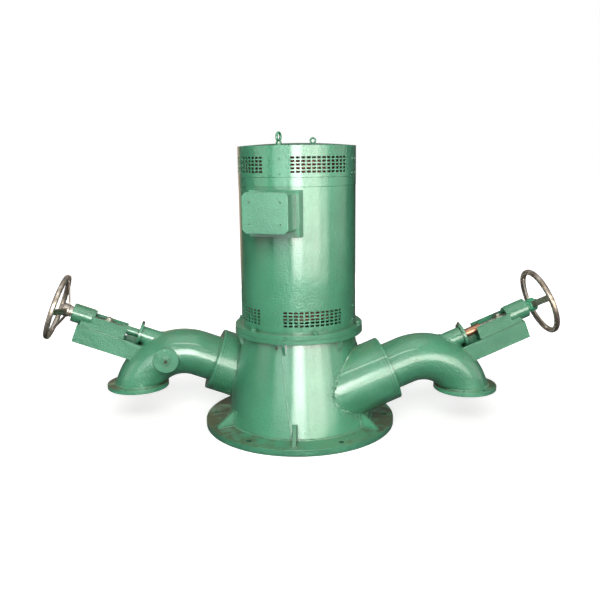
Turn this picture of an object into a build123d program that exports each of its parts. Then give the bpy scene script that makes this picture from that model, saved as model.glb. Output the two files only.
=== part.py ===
"""Vertical water-turbine generating set: a conical casing with two inclined needle nozzles.

The casing stands on a round base flange and carries a vertical generator. Two nozzles
enter the casing on opposite sides, half a turn apart about the vertical axis. Each has
a pipe elbow, a flanged inlet that faces down, and a needle moved by a handwheel.

Millimetres. Z is up, the origin is the centre of the base flange's underside, and the
nozzles lie along X. The right arm is built and the left one is the same pieces turned
by half a turn. Azimuths are degrees from -Y towards +X. On an arm, s runs outwards
along the needle axis and n runs upwards across it.
"""

import os
from math import cos, radians, sin, tan

from build123d import *

# Fits, gaps and broken edges
RUNNING_GAP = 0.05
SEAT_GAP = 0.2
EASE = 1.5

# Generator shell: each part stands on the one below, and the top of the casing fits it
BAND_R = 268.0
BAND_WALL = 4.0
GEN_R = BAND_R - 1.0
GEN_FOOT_R = BAND_R + 31.0
GEN_FOOT_T = 21.0
LOWER_BAND_H = 160.0
FRAME_H = 478.0
FRAME_RING_H = 41.0
UPPER_BAND_H = 112.0
TOP_SKIRT_H = 20.0
TOP_CROWN = 13.0
CROWN_R = BAND_R - 4.0
FOOT_BOLTS = 6
FOOT_BOLT_R = BAND_R + 16.0
FOOT_BOLT_AZIMUTH = 8.0
FOOT_HOLE_R = 9.0

# Base flange
BASE_R = 451.0
BASE_T = 30.0
BASE_BOLTS = 6
BASE_BOLT_R = BASE_R - 43.5
BASE_HOLE_R = 13.0
BASE_BOLT_AZIMUTH = 19.3

# Conical casing, rolled in two halves that meet at two slightly leaning seams
CASING_BOTTOM_R = BASE_R - 104.0
CASING_TOP_R = BAND_R - 7.0
CASING_TOP_Z = 450.0
CASING_WALL = 8.0
TOP_FLANGE_R = GEN_FOOT_R + 1.0
TOP_FLANGE_T = 20.0
TOP_FLANGE_BORE_R = CASING_TOP_R - 71.0
SEAM_LOW_AZIMUTH = -13.4
SEAM_HIGH_AZIMUTH = -24.7

# Gussets
BASE_GUSSET_AZIMUTH = -10.7
BASE_GUSSET_FOOT_R = BASE_R - 25.0
BASE_GUSSET_TOP_Z = BASE_T + 70.0
BASE_GUSSET_T = 16.0
GUSSET_TOE = 8.0
TOP_GUSSET_AZIMUTHS = (-81.0, -20.7, 33.6, 99.0, 159.3, 213.6)
TOP_GUSSET_R = TOP_FLANGE_R - 6.0
TOP_GUSSET_DROP = 52.0
TOP_GUSSET_T = 12.0

# Nozzle arm: the needle axis passes beside the machine's axis and rises outwards
ARM_OFFSET = 141.0
ARM_SLOPE = 21.5
ARM_START_Z = 127.0
STUB_R = 150.0
STUB_WALL = 8.0
STUB_START_S = 60.0
JOINT_S = 418.0
JOINT_RING_T = 13.0

# Pipe elbow and inlet
PIPE_R = 109.5
PIPE_WALL = 8.0
BEND_R = 225.0
BEND_START_S = JOINT_S + 94.0
PIPE_END = 90.0
QUARTER = 90.0
ELBOW_SPLIT = 38.0
INLET_Z = 165.0
INLET_T = 20.0
INLET_R = PIPE_R + 37.5
INLET_BOLTS = 8
INLET_BOLT_R = PIPE_R + 20.0
INLET_HOLE_R = 7.5

# Nozzle inside the stub
NOZZLE_FLANGE_R = STUB_R - STUB_WALL - 4.0
NOZZLE_FLANGE_T = 12.0
NOZZLE_WALL = 7.0
NOZZLE_LENGTH = 193.0
NOZZLE_MOUTH_R = 36.0

# Inspection cover on the side of the elbow
COVER_ANGLE = 19.0
COVER_NECK_R = 50.0
COVER_R = 60.0
COVER_T = 12.0
COVER_OUT = PIPE_R + 14.5
COVER_NUT_R = 19.0
COVER_NUT_T = 16.0

# Needle stem, with the gland and its long bush
STEM_R = 42.0
STEM_BORE_R = 22.0
ROD_R = 14.0
GLAND_S = BEND_START_S + 294.0
GLAND_R = 56.0
GLAND_T = 14.0
BUSH_R = 20.0
BUSH_L = 85.0

# Bracket: lower channel, upper cheek plates and the headstock plate
TROUGH_W = 100.0
TROUGH_WALL = 6.0
TROUGH_BOTTOM = -125.0
TROUGH_TOP = -42.0
TROUGH_START_S = GLAND_S - 39.0
TROUGH_ROOT = 60.0
TROUGH_NOTCH = 12.0
CHEEK_T = 5.0
CHEEK_TOP = 20.0
CHEEK_LAP = 40.0
CHEEK_LOW_TOP = -16.0
CHEEK_START_S = GLAND_S + 72.0
BOSS_START_S = GLAND_S + 239.0
HEADSTOCK_T = 10.0
HEADSTOCK_R = 43.0
TROUGH_END_S = BOSS_START_S + 56.0

# Screw boss and handwheel
BOSS_R = 45.0
BOSS_LENGTH = 95.0
SPINDLE_R = 24.0
SCREW_R = 15.0
HUB_R = 31.0
HUB_COLLAR_R = 27.0
HUB_COLLAR_H = 10.0
HUB_GAP = 6.0
HUB_LENGTH = 44.0
HUB_NUT_R = 20.0
HUB_NUT_T = 12.0
HUB_END_T = 12.0
WHEEL_R = 160.0
WHEEL_S = BOSS_START_S + 170.0
RIM_W = 24.0
RIM_ROUND = 9.5
GRIPS = 36
GRIP_R = 10.5
GRIP_DEPTH = 6.0
SPOKES = 3
SPOKE_W = 30.0
SPOKE_T = 9.0
SPOKE_ROUND = 3.0

# Needle coupling: where each stands at rest, as in the photograph
CLAMP_L = 34.0
CLAMP_W = 52.0
CLAMP_H = 36.0
POINTER_H = 12.0
RIGHT_CLAMP_S = BOSS_START_S - 45.0
LEFT_CLAMP_S = BOSS_START_S - 73.0
NEEDLE_REACH = 769.0
NEEDLE_R = 30.0
NEEDLE_CONE = 70.0
NEEDLE_TAIL = 180.0
SCREW_LAP = 147.0

# Spoke that each wheel shows at rest, in degrees about its axis
RIGHT_WHEEL_PHASE = 70.0
LEFT_WHEEL_PHASE = 32.0

# Ventilation grilles, placed in the middle of their bands
GRILLE_TURNS = (0.0, 94.8, 180.0, 274.8)
VENT_COLUMNS = 12
VENT_ROWS = 5
VENT_ROW_PITCH = 14.7
VENT_W = 17.0
VENT_H = 9.0
VENT_CUT = 40.0
UPPER_VENT_RISE = 52.0
UPPER_VENT_AZIMUTH = 16.0
UPPER_VENT_PITCH = 4.9
LOWER_VENT_RISE = 65.5
LOWER_VENT_AZIMUTH = 8.4
LOWER_VENT_PITCH = 5.1

# Windings and shaft, seen behind the grilles
COIL_R = BAND_R - 32.0
COIL_BORE_R = BAND_R - 80.0
LOWER_COIL_H = 114.0
UPPER_COIL_H = 75.0
COIL_ROUND = 14.0
SHAFT_R = 40.0
SHAFT_BOTTOM_Z = 92.0

# Runner: hub, ring of curved buckets and outer band
RUNNER_Z = 127.0
RUNNER_T = 50.0
HUB_DISC_R = 104.0
HUB_RECESS_R = 88.0
HUB_BOSS_R = 58.0
HUB_RECESS_H = 18.0
BUCKETS = 18
BUCKET_LEAN = 10.0
BUCKET_BACK = 14.0
BUCKET_EDGE_T = 2.5
BUCKET_T = 5.0
RUNNER_BAND_R = 184.0
RUNNER_BAND_T = 6.0

# Terminal box
BOX_AZIMUTH = -26.7
BOX_W = 204.0
BOX_H = 170.0
BOX_DROP = 15.0
BOX_INSET = 4.0
BOX_CORNER = 10.0
LID_T = 10.0
LID_CORNER = 16.0
SADDLE_W = 226.0
SADDLE_H = 197.0
SADDLE_DROP = 12.0
SADDLE_FRONT = BAND_R + 24.0
SADDLE_BACK = BAND_R - 88.0
BOX_FRONT = SADDLE_FRONT + 96.0

# Lifting eyes on the top cover
EYE_R = BAND_R - 98.0
EYE_AZIMUTH = -34.0
EYE_TURN = 90.0
EYE_RING_R = 17.5
EYE_BAR_R = 5.5
EYE_COLLAR_R = 13.0
EYE_COLLAR_H = 10.0
FAR_EYE_TURN = 10.0
FAR_EYE_RING_R = 12.0
FAR_EYE_BAR_R = 4.5
FAR_EYE_COLLAR_H = 5.0
EYE_LAP = 3.0

# Far larger than any piece, for cutting away whole sides
SPACE = 2000.0

SLOPE = radians(ARM_SLOPE)
ARM_UP = (-sin(SLOPE), 0, cos(SLOPE))
ARM_OUT = (cos(SLOPE), 0, sin(SLOPE))
ARM = Plane(origin=(0, -ARM_OFFSET, ARM_START_Z), x_dir=ARM_UP, z_dir=ARM_OUT)
RADIAL = Plane(origin=(0, 0, 0), x_dir=(0, -1, 0), z_dir=(-1, 0, 0))
STANDING = (Align.CENTER, Align.CENTER, Align.MIN)
HALF_TURN = Rot(0, 0, 180)
ELBOW_S = JOINT_S + JOINT_RING_T
STEM_START_S = BEND_START_S + BEND_R / 2
BEND_X = BEND_START_S * cos(SLOPE) + BEND_R * sin(SLOPE)
BEND_Z = ARM_START_Z + BEND_START_S * sin(SLOPE) - BEND_R * cos(SLOPE)
BEND_END_X = BEND_X + BEND_R * cos(SLOPE)
BEND_END_Z = BEND_Z + BEND_R * sin(SLOPE)
INLET_X = BEND_END_X + (BEND_END_Z - INLET_Z) * tan(SLOPE)
GEN_Z = CASING_TOP_Z + TOP_FLANGE_T
BAND_Z = GEN_Z + GEN_FOOT_T
FRAME_Z = BAND_Z + LOWER_BAND_H
FRAME_RING_Z = FRAME_Z + FRAME_H
UPPER_BAND_Z = FRAME_RING_Z + FRAME_RING_H
TOP_COVER_Z = UPPER_BAND_Z + UPPER_BAND_H
GEN_TOP_Z = TOP_COVER_Z + TOP_SKIRT_H
SADDLE_TOP_Z = FRAME_RING_Z - SADDLE_DROP
BOX_TOP_Z = FRAME_RING_Z - BOX_DROP


def tube(outer_r, inner_r, bottom, height, ease=0.0):
    """A round tube or ring about the local Z axis, with both outer edges broken by the ease."""
    top = bottom + height
    outline = [(inner_r, bottom), (outer_r - ease, bottom)]
    if ease:
        outline += [(outer_r, bottom + ease), (outer_r, top - ease)]
    outline += [(outer_r - ease, top), (inner_r, top)]
    return revolve(Plane.XZ * make_face(Polyline(*outline, close=True)), Axis.Z)


def rod(radius, bottom, top):
    """A round bar about the local Z axis."""
    return Pos(0, 0, bottom) * Cylinder(radius, top - bottom, align=STANDING)


def hex_nut(radius, bottom, height):
    """A hexagonal nut about the local Z axis, its radius over the corners."""
    return extrude(Pos(0, 0, bottom) * RegularPolygon(radius, 6), height)


def on_arm(shape):
    """Places a shape drawn about the local Z axis on the right arm's needle axis."""
    return ARM.location * shape


def turned(shape, azimuth):
    """Turns a shape drawn towards -Y to its azimuth."""
    return Rot(0, 0, azimuth) * shape


def hole_ring(count, ring_r, hole_r, bottom, height, first):
    """Cylinders that cut a ring of bolt holes."""
    cutter = Pos(0, -ring_r, bottom) * Cylinder(hole_r, height, align=STANDING)
    return [turned(cutter, first + 360.0 * i / count) for i in range(count)]


def radial_plate(points, thickness):
    """A plate in the vertical plane through the axis, from (radius, height) points."""
    face = make_face(Polyline(*points, close=True))
    return RADIAL.location * extrude(face, thickness / 2, both=True)


def casing_r(z):
    """Outer radius of the conical casing at a height."""
    share = (z - BASE_T) / (CASING_TOP_Z - BASE_T)
    return CASING_BOTTOM_R + (CASING_TOP_R - CASING_BOTTOM_R) * share


def base_flange():
    """Round sole flange with its foundation bolt holes and the open outlet."""
    body = tube(BASE_R, CASING_BOTTOM_R - CASING_WALL, 0, BASE_T, EASE)
    return body - hole_ring(BASE_BOLTS, BASE_BOLT_R, BASE_HOLE_R, 0, BASE_T, BASE_BOLT_AZIMUTH)


def cone_solid(inset):
    """Solid cone of the casing, drawn in by an inset."""
    bottom_r = CASING_BOTTOM_R - inset
    top_r = CASING_TOP_R - inset
    return Pos(0, 0, BASE_T) * Cone(bottom_r, top_r, CASING_TOP_Z - BASE_T, align=STANDING)


def seam_side():
    """Block that holds the casing's right half, up to the two leaning seams."""
    ends = []
    for z, azimuth in ((BASE_T, SEAM_LOW_AZIMUTH), (CASING_TOP_Z, SEAM_HIGH_AZIMUTH)):
        ends.append(Pos(0, 0, z) * Rot(0, 0, azimuth) * Pos(BASE_R / 2, 0) * Rectangle(BASE_R, 2 * BASE_R))
    return loft(ends, ruled=True)


def casing_halves():
    """Right and left half of the conical shell, each with the opening of its nozzle stub."""
    shell = cone_solid(0) - cone_solid(CASING_WALL)
    opening = on_arm(rod(STUB_R - STUB_WALL, STUB_START_S, JOINT_S))
    shell = shell - opening - HALF_TURN * opening
    block = seam_side()
    return shell & block, shell - block


def casing_top_flange():
    """Ring flange that carries the generator."""
    body = tube(TOP_FLANGE_R, TOP_FLANGE_BORE_R, CASING_TOP_Z, TOP_FLANGE_T, EASE)
    holes = hole_ring(FOOT_BOLTS, FOOT_BOLT_R, FOOT_HOLE_R, CASING_TOP_Z, TOP_FLANGE_T, FOOT_BOLT_AZIMUTH)
    return body - holes


def base_gussets():
    """Triangular webs between the casing and the base flange."""
    top_r = casing_r(BASE_GUSSET_TOP_Z)
    points = [
        (casing_r(BASE_T), BASE_T),
        (BASE_GUSSET_FOOT_R, BASE_T),
        (BASE_GUSSET_FOOT_R, BASE_T + GUSSET_TOE),
        (top_r + GUSSET_TOE, BASE_GUSSET_TOP_Z),
        (top_r, BASE_GUSSET_TOP_Z),
    ]
    web = radial_plate(points, BASE_GUSSET_T)
    stub = on_arm(rod(STUB_R + SEAT_GAP, STUB_START_S, JOINT_S))
    webs = []
    for i in range(BASE_BOLTS):
        place = BASE_GUSSET_AZIMUTH + 360.0 * i / BASE_BOLTS
        webs += (turned(web, place) - stub - HALF_TURN * stub).solids()
    return Compound(webs)


def top_gussets():
    """Small webs under the casing's top flange."""
    low = CASING_TOP_Z - TOP_GUSSET_DROP
    points = [
        (casing_r(CASING_TOP_Z), CASING_TOP_Z),
        (casing_r(low), low),
        (casing_r(low) + GUSSET_TOE, low),
        (TOP_GUSSET_R, CASING_TOP_Z - GUSSET_TOE),
        (TOP_GUSSET_R, CASING_TOP_Z),
    ]
    web = radial_plate(points, TOP_GUSSET_T)
    return Compound([turned(web, azimuth) for azimuth in TOP_GUSSET_AZIMUTHS])


def nozzle_stub():
    """Short wide tube that leaves the casing along the needle axis."""
    body = on_arm(tube(STUB_R, STUB_R - STUB_WALL, STUB_START_S, JOINT_S - STUB_START_S))
    return body - cone_solid(0) - rod(CASING_BOTTOM_R, -STUB_R, BASE_T)


def joint_flange():
    """Ring plate of the elbow that closes on the stub's end."""
    return on_arm(tube(STUB_R, PIPE_R - PIPE_WALL, JOINT_S, JOINT_RING_T, EASE))


def nozzle():
    """Converging nozzle on the joint flange, with its mouth towards the runner."""
    mouth_s = JOINT_S - NOZZLE_LENGTH
    bore_r = PIPE_R - PIPE_WALL
    outline = [
        (bore_r, JOINT_S),
        (NOZZLE_FLANGE_R, JOINT_S),
        (NOZZLE_FLANGE_R, JOINT_S - NOZZLE_FLANGE_T),
        (bore_r + NOZZLE_WALL, JOINT_S - NOZZLE_FLANGE_T),
        (NOZZLE_MOUTH_R + NOZZLE_WALL, mouth_s),
        (NOZZLE_MOUTH_R, mouth_s),
    ]
    return on_arm(revolve(Plane.XZ * make_face(Polyline(*outline, close=True)), Axis.Z))


def neck_pipe():
    """Straight pipe between the joint flange and the elbow."""
    return on_arm(tube(PIPE_R, PIPE_R - PIPE_WALL, ELBOW_S, BEND_START_S - ELBOW_S))


def elbow_solid(radius):
    """Solid sweep of the elbow: its quarter bend and a straight end past the inlet."""
    start = ARM.location * Pos(0, 0, BEND_START_S)
    bend_axis = Axis((BEND_X, -ARM_OFFSET, BEND_Z), (0, 1, 0))
    bend = revolve(start * Circle(radius), bend_axis, QUARTER)
    end = Plane(origin=(BEND_END_X, -ARM_OFFSET, BEND_END_Z), z_dir=(sin(SLOPE), 0, -cos(SLOPE)))
    foot = end.location * rod(radius, 0, PIPE_END)
    return bend + foot


def elbow_parts():
    """Upper and lower part of the pipe elbow, mitred onto the inlet flange and bored for the stem."""
    above_inlet = Pos(INLET_X, -ARM_OFFSET, INLET_Z + INLET_T) * Box(SPACE, SPACE, SPACE, align=STANDING)
    body = (elbow_solid(PIPE_R) - elbow_solid(PIPE_R - PIPE_WALL)) & above_inlet
    stem_hole = on_arm(rod(STEM_R, STEM_START_S, GLAND_S))
    neck_hole = cover_place() * rod(COVER_NECK_R - PIPE_WALL, 0, COVER_OUT)
    body = body - stem_hole - neck_hole
    joint = Pos(BEND_X, -ARM_OFFSET, BEND_Z) * Rot(0, ELBOW_SPLIT, 0)
    upper_side = joint * Pos(-SPACE / 2, 0, 0) * Box(SPACE, SPACE, SPACE)
    return body & upper_side, body - upper_side


def inlet_flange():
    """Inlet flange that faces down, with its bolt holes."""
    body = tube(INLET_R, PIPE_R - PIPE_WALL, 0, INLET_T, EASE)
    body -= hole_ring(INLET_BOLTS, INLET_BOLT_R, INLET_HOLE_R, 0, INLET_T, 180.0 / INLET_BOLTS)
    return Pos(INLET_X, -ARM_OFFSET, INLET_Z) * body


def cover_place():
    """Place of the inspection cover: on the bend's centre line, facing away from the wheel side."""
    angle = radians(COVER_ANGLE)
    centre = (BEND_X + BEND_R * sin(angle), -ARM_OFFSET, BEND_Z + BEND_R * cos(angle))
    return Plane(origin=centre, x_dir=(1, 0, 0), z_dir=(0, 1, 0)).location


def cover_neck():
    """Short neck between the elbow's side and its cover."""
    body = cover_place() * tube(COVER_NECK_R, COVER_NECK_R - PIPE_WALL, 0, COVER_OUT - COVER_T)
    return body - elbow_solid(PIPE_R)


def cover():
    """Round cover with its centre nut."""
    plate = tube(COVER_R, 0, COVER_OUT - COVER_T, COVER_T, EASE)
    return cover_place() * (plate + hex_nut(COVER_NUT_R, COVER_OUT, COVER_NUT_T))


def stem_tube():
    """Tube that carries the needle rod out of the elbow."""
    body = on_arm(tube(STEM_R, STEM_BORE_R, STEM_START_S, GLAND_S - STEM_START_S))
    return body - elbow_solid(PIPE_R - PIPE_WALL)


def gland():
    """Gland flange on the end of the stem tube."""
    return on_arm(tube(GLAND_R, ROD_R + RUNNING_GAP, GLAND_S, GLAND_T, EASE))


def gland_bush():
    """Long bush on the gland flange, which guides the needle rod."""
    return on_arm(tube(BUSH_R, ROD_R + RUNNING_GAP, GLAND_S + GLAND_T, BUSH_L, EASE))


def arm_box(s_start, s_end, half_width, low, high):
    """A box on the arm: along the needle axis, across it and up from it."""
    size = (high - low, 2 * half_width, s_end - s_start)
    return on_arm(Pos((low + high) / 2, 0, (s_start + s_end) / 2) * Box(*size))


def trough():
    """Lower channel of the bracket, saddled on the elbow's back, with its end plate."""
    half = TROUGH_W / 2
    floor = TROUGH_BOTTOM + TROUGH_WALL
    body = arm_box(TROUGH_START_S - TROUGH_ROOT, TROUGH_END_S, half, TROUGH_BOTTOM, TROUGH_TOP)
    hollow = arm_box(0, TROUGH_END_S + TROUGH_WALL, half - TROUGH_WALL, floor, 0)
    corner = arm_box(0, TROUGH_START_S, half, TROUGH_TOP - TROUGH_NOTCH, 0)
    channel = body - hollow - corner - elbow_solid(PIPE_R + SEAT_GAP)
    plate = arm_box(TROUGH_END_S - HEADSTOCK_T, TROUGH_END_S, half - TROUGH_WALL, floor, TROUGH_TOP)
    return channel + (plate - on_arm(rod(BOSS_R + SEAT_GAP, 0, TROUGH_END_S)))


def bracket():
    """Two cheek plates lapped inside the channel and under the boss, and the headstock plate."""
    inner = TROUGH_W / 2 - TROUGH_WALL
    start_s = BOSS_START_S - HEADSTOCK_T
    end_s = TROUGH_END_S - HEADSTOCK_T
    low = TROUGH_TOP - CHEEK_LAP
    cheek = arm_box(CHEEK_START_S, BOSS_START_S, CHEEK_T / 2, low, CHEEK_TOP)
    cheek += arm_box(start_s, end_s, CHEEK_T / 2, low, CHEEK_LOW_TOP)
    shift = inner - CHEEK_T / 2
    plate = arm_box(start_s, BOSS_START_S, inner, TROUGH_BOTTOM + TROUGH_WALL, CHEEK_TOP)
    head = on_arm(rod(HEADSTOCK_R, start_s, BOSS_START_S))
    body = plate + head + Pos(0, -shift, 0) * cheek + Pos(0, shift, 0) * cheek
    body -= on_arm(rod(BOSS_R + SEAT_GAP, BOSS_START_S, end_s))
    return body - on_arm(rod(SPINDLE_R + EASE, start_s, BOSS_START_S))


def boss():
    """Bearing boss for the handwheel's spindle."""
    return on_arm(tube(BOSS_R, SPINDLE_R + RUNNING_GAP, BOSS_START_S, BOSS_LENGTH, EASE))


def wheel_rim():
    """Rim with the ring of finger grips on its machine side."""
    centre_r = WHEEL_R - RIM_W / 2
    section = Plane.XZ * Pos(centre_r, WHEEL_S) * RectangleRounded(RIM_W, RIM_W, RIM_ROUND)
    rim = revolve(section, Axis.Z)
    grip_s = WHEEL_S - RIM_W / 2 - GRIP_R + GRIP_DEPTH
    grip = Pos(centre_r, 0, grip_s) * Sphere(GRIP_R)
    return rim - [Rot(0, 0, 360.0 * i / GRIPS) * grip for i in range(GRIPS)]


def wheel_spoke(hub_s):
    """Dished spoke from the hub to the rim, with rounded edges."""
    inner_r = HUB_R - SPOKE_ROUND
    outer_r = WHEEL_R - RIM_W / 2
    middle_r = (inner_r + outer_r) / 2
    middle_s = (hub_s + WHEEL_S) / 2
    half = SPOKE_T / 2
    low = Spline((inner_r, hub_s - half), (middle_r, middle_s - half - EASE), (outer_r, WHEEL_S - half))
    high = Spline((inner_r, hub_s + half), (middle_r, middle_s + half - EASE), (outer_r, WHEEL_S + half))
    section = make_face([low, Line(low @ 1, high @ 1), high, Line(high @ 0, low @ 0)])
    spoke = extrude(Plane.XZ * section, SPOKE_W / 2, both=True)
    return fillet(spoke.edges().filter_by(GeomType.BSPLINE), SPOKE_ROUND)


def handwheel(phase):
    """Dished handwheel with its hollow spindle, hub, nut, spokes and rim."""
    hub_s = BOSS_START_S + BOSS_LENGTH + HUB_GAP
    hub_end = hub_s + HUB_LENGTH
    bore_r = SCREW_R + RUNNING_GAP
    body = tube(SPINDLE_R, bore_r, BOSS_START_S, hub_s - BOSS_START_S)
    body += tube(HUB_COLLAR_R, bore_r, hub_s, HUB_COLLAR_H, EASE)
    body += tube(HUB_R, bore_r, hub_s + HUB_COLLAR_H, HUB_LENGTH - HUB_COLLAR_H, 2 * EASE)
    body += rod(SCREW_R + EASE, hub_end - HUB_END_T, hub_end)
    body += hex_nut(HUB_NUT_R, hub_end, HUB_NUT_T)
    spoke = wheel_spoke(hub_s + HUB_LENGTH / 2)
    for i in range(SPOKES):
        body += Rot(0, 0, phase + 360.0 * i / SPOKES) * spoke
    return on_arm(body + wheel_rim())


def needle_rod(clamp_s):
    """Needle, rod, coupling clamp with its pointer, and the screw that the spindle drives."""
    tip_s = clamp_s - NEEDLE_REACH
    outline = [
        (0, tip_s),
        (NEEDLE_R - EASE, tip_s + NEEDLE_CONE - 2 * EASE),
        (NEEDLE_R, tip_s + NEEDLE_CONE + 2 * EASE),
        (ROD_R, tip_s + NEEDLE_TAIL),
        (ROD_R, clamp_s),
        (0, clamp_s),
    ]
    bar = revolve(Plane.XZ * make_face(Polyline(*outline, close=True)), Axis.Z)
    clamp = Pos(0, 0, clamp_s) * Box(CLAMP_H, CLAMP_W, CLAMP_L)
    clamp = chamfer(clamp.edges().filter_by(Axis.Z), 2 * EASE)
    pointer = Pos(CLAMP_H / 2 + POINTER_H / 2, 0, clamp_s) * Box(POINTER_H, CLAMP_W / 2, CLAMP_L / 2)
    screw = rod(SCREW_R, clamp_s, clamp_s + SCREW_LAP)
    return on_arm(bar + clamp + pointer + screw)


def generator_foot():
    """Foot flange of the generator, closed round the shaft."""
    body = tube(GEN_FOOT_R, SHAFT_R + SEAT_GAP, GEN_Z, GEN_FOOT_T, EASE)
    return body - hole_ring(FOOT_BOLTS, FOOT_BOLT_R, FOOT_HOLE_R, GEN_Z, GEN_FOOT_T, FOOT_BOLT_AZIMUTH)


def vent_cutters(middle_z, azimuth, pitch):
    """Boxes that cut the grilles of one band."""
    cutter = Box(VENT_W, VENT_CUT, VENT_H)
    cutters = []
    for grille_turn in GRILLE_TURNS:
        for column in range(VENT_COLUMNS):
            place = azimuth + grille_turn + pitch * (column - (VENT_COLUMNS - 1) / 2)
            for row in range(VENT_ROWS):
                z = middle_z + VENT_ROW_PITCH * (row - (VENT_ROWS - 1) / 2)
                cutters.append(turned(Pos(0, -BAND_R, z) * cutter, place))
    return cutters


def vent_band(bottom, height, rise, azimuth, pitch):
    """Thin band with its ventilation grilles."""
    shell = tube(BAND_R, BAND_R - BAND_WALL, bottom, height)
    return shell - vent_cutters(bottom + rise, azimuth, pitch)


def generator_frame():
    """Smooth closed frame between the two ventilated bands, solid round the shaft."""
    return tube(GEN_R, SHAFT_R + SEAT_GAP, FRAME_Z, FRAME_H)


def frame_ring():
    """Plain ring between the frame and the upper band, closed round the shaft."""
    return tube(BAND_R, SHAFT_R + SEAT_GAP, FRAME_RING_Z, FRAME_RING_H, EASE)


def coil(bottom, height):
    """End winding ring with rounded edges."""
    width = COIL_R - COIL_BORE_R
    section = Pos(COIL_BORE_R + width / 2, bottom + height / 2) * RectangleRounded(width, height, COIL_ROUND)
    return revolve(Plane.XZ * section, Axis.Z)


def top_cover():
    """Shallow crowned cover over the upper band."""
    radius = (CROWN_R ** 2 + TOP_CROWN ** 2) / (2 * TOP_CROWN)
    ball = Pos(0, 0, GEN_TOP_Z + TOP_CROWN - radius) * Sphere(radius)
    crown = rod(CROWN_R, GEN_TOP_Z, GEN_TOP_Z + TOP_CROWN) & ball
    return rod(BAND_R, TOP_COVER_Z, GEN_TOP_Z) + crown


def eye_bolt(ring_r, bar_r, collar_h, turn):
    """Lifting eye with its collar, upright at the eye radius towards -Y and turned about itself."""
    seat_z = GEN_TOP_Z + TOP_CROWN * (1 - (EYE_R / CROWN_R) ** 2)
    collar = rod(EYE_COLLAR_R, seat_z - EYE_LAP, seat_z + collar_h)
    centre_z = seat_z + collar_h + ring_r + bar_r - EYE_LAP
    eye = Pos(0, 0, centre_z) * Rot(90, 0, 0) * Torus(ring_r, bar_r)
    return Pos(0, -EYE_R, 0) * Rot(0, 0, turn) * (collar + eye)


def lifting_eyes():
    """The near lifting eye and the smaller one half a turn from it."""
    near = turned(eye_bolt(EYE_RING_R, EYE_BAR_R, EYE_COLLAR_H, EYE_TURN), EYE_AZIMUTH)
    far = turned(eye_bolt(FAR_EYE_RING_R, FAR_EYE_BAR_R, FAR_EYE_COLLAR_H, FAR_EYE_TURN), EYE_AZIMUTH + 180)
    seat = top_cover()
    return Compound((near - seat).solids() + (far - seat).solids())


def bucket():
    """One curved bucket, its crescent section drawn out from the hub to the outer band."""
    half = RUNNER_T / 2
    front = ThreePointArc((-BUCKET_LEAN, half), (BUCKET_BACK, 0), (-BUCKET_LEAN, -half))
    back_end = -BUCKET_LEAN - BUCKET_EDGE_T
    back = ThreePointArc((back_end, -half), (BUCKET_BACK - BUCKET_T, 0), (back_end, half))
    section = make_face([front, Line(front @ 1, back @ 0), back, Line(back @ 1, front @ 0)])
    start_r = HUB_DISC_R - RUNNER_BAND_T / 2
    place = Pos(0, -start_r, RUNNER_Z) * (Plane.XZ * section)
    return extrude(place, RUNNER_BAND_R - HUB_DISC_R + RUNNER_BAND_T)


def runner():
    """Runner on the shaft's end: recessed hub, curved buckets and outer band."""
    bottom = RUNNER_Z - RUNNER_T / 2
    body = tube(HUB_DISC_R, SHAFT_R, bottom, RUNNER_T)
    body -= tube(HUB_RECESS_R, HUB_BOSS_R, bottom, HUB_RECESS_H)
    body += tube(RUNNER_BAND_R + RUNNER_BAND_T, RUNNER_BAND_R, bottom, RUNNER_T)
    for i in range(BUCKETS):
        body += turned(bucket(), 360.0 * i / BUCKETS)
    return body


def shaft():
    """Main shaft from below the runner to the top cover."""
    return rod(SHAFT_R, SHAFT_BOTTOM_Z, TOP_COVER_Z)


def box_block(width, bottom, top, back, front):
    """A box that faces outwards from the generator, towards -Y before it is turned."""
    return Pos(0, -(back + front) / 2, (bottom + top) / 2) * Box(width, front - back, top - bottom)


def terminal_saddle():
    """Saddle block fitted to the round frame under the terminal box."""
    body = box_block(SADDLE_W, SADDLE_TOP_Z - SADDLE_H, SADDLE_TOP_Z, SADDLE_BACK, SADDLE_FRONT)
    return turned(body, BOX_AZIMUTH) - rod(GEN_R, FRAME_Z, FRAME_RING_Z)


def terminal_body():
    """Terminal box body."""
    bottom = BOX_TOP_Z - BOX_H + BOX_INSET
    body = box_block(BOX_W - 2 * BOX_INSET, bottom, BOX_TOP_Z - BOX_INSET, SADDLE_FRONT, BOX_FRONT)
    return turned(fillet(body.edges().filter_by(Axis.Y), BOX_CORNER), BOX_AZIMUTH)


def terminal_lid():
    """Flat lid with cut corners."""
    body = box_block(BOX_W, BOX_TOP_Z - BOX_H, BOX_TOP_Z, BOX_FRONT, BOX_FRONT + LID_T)
    body = chamfer(body.edges().filter_by(Axis.Y), LID_CORNER)
    return turned(chamfer(body.faces().sort_by(Axis.Y)[0].edges(), EASE), BOX_AZIMUTH)


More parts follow.
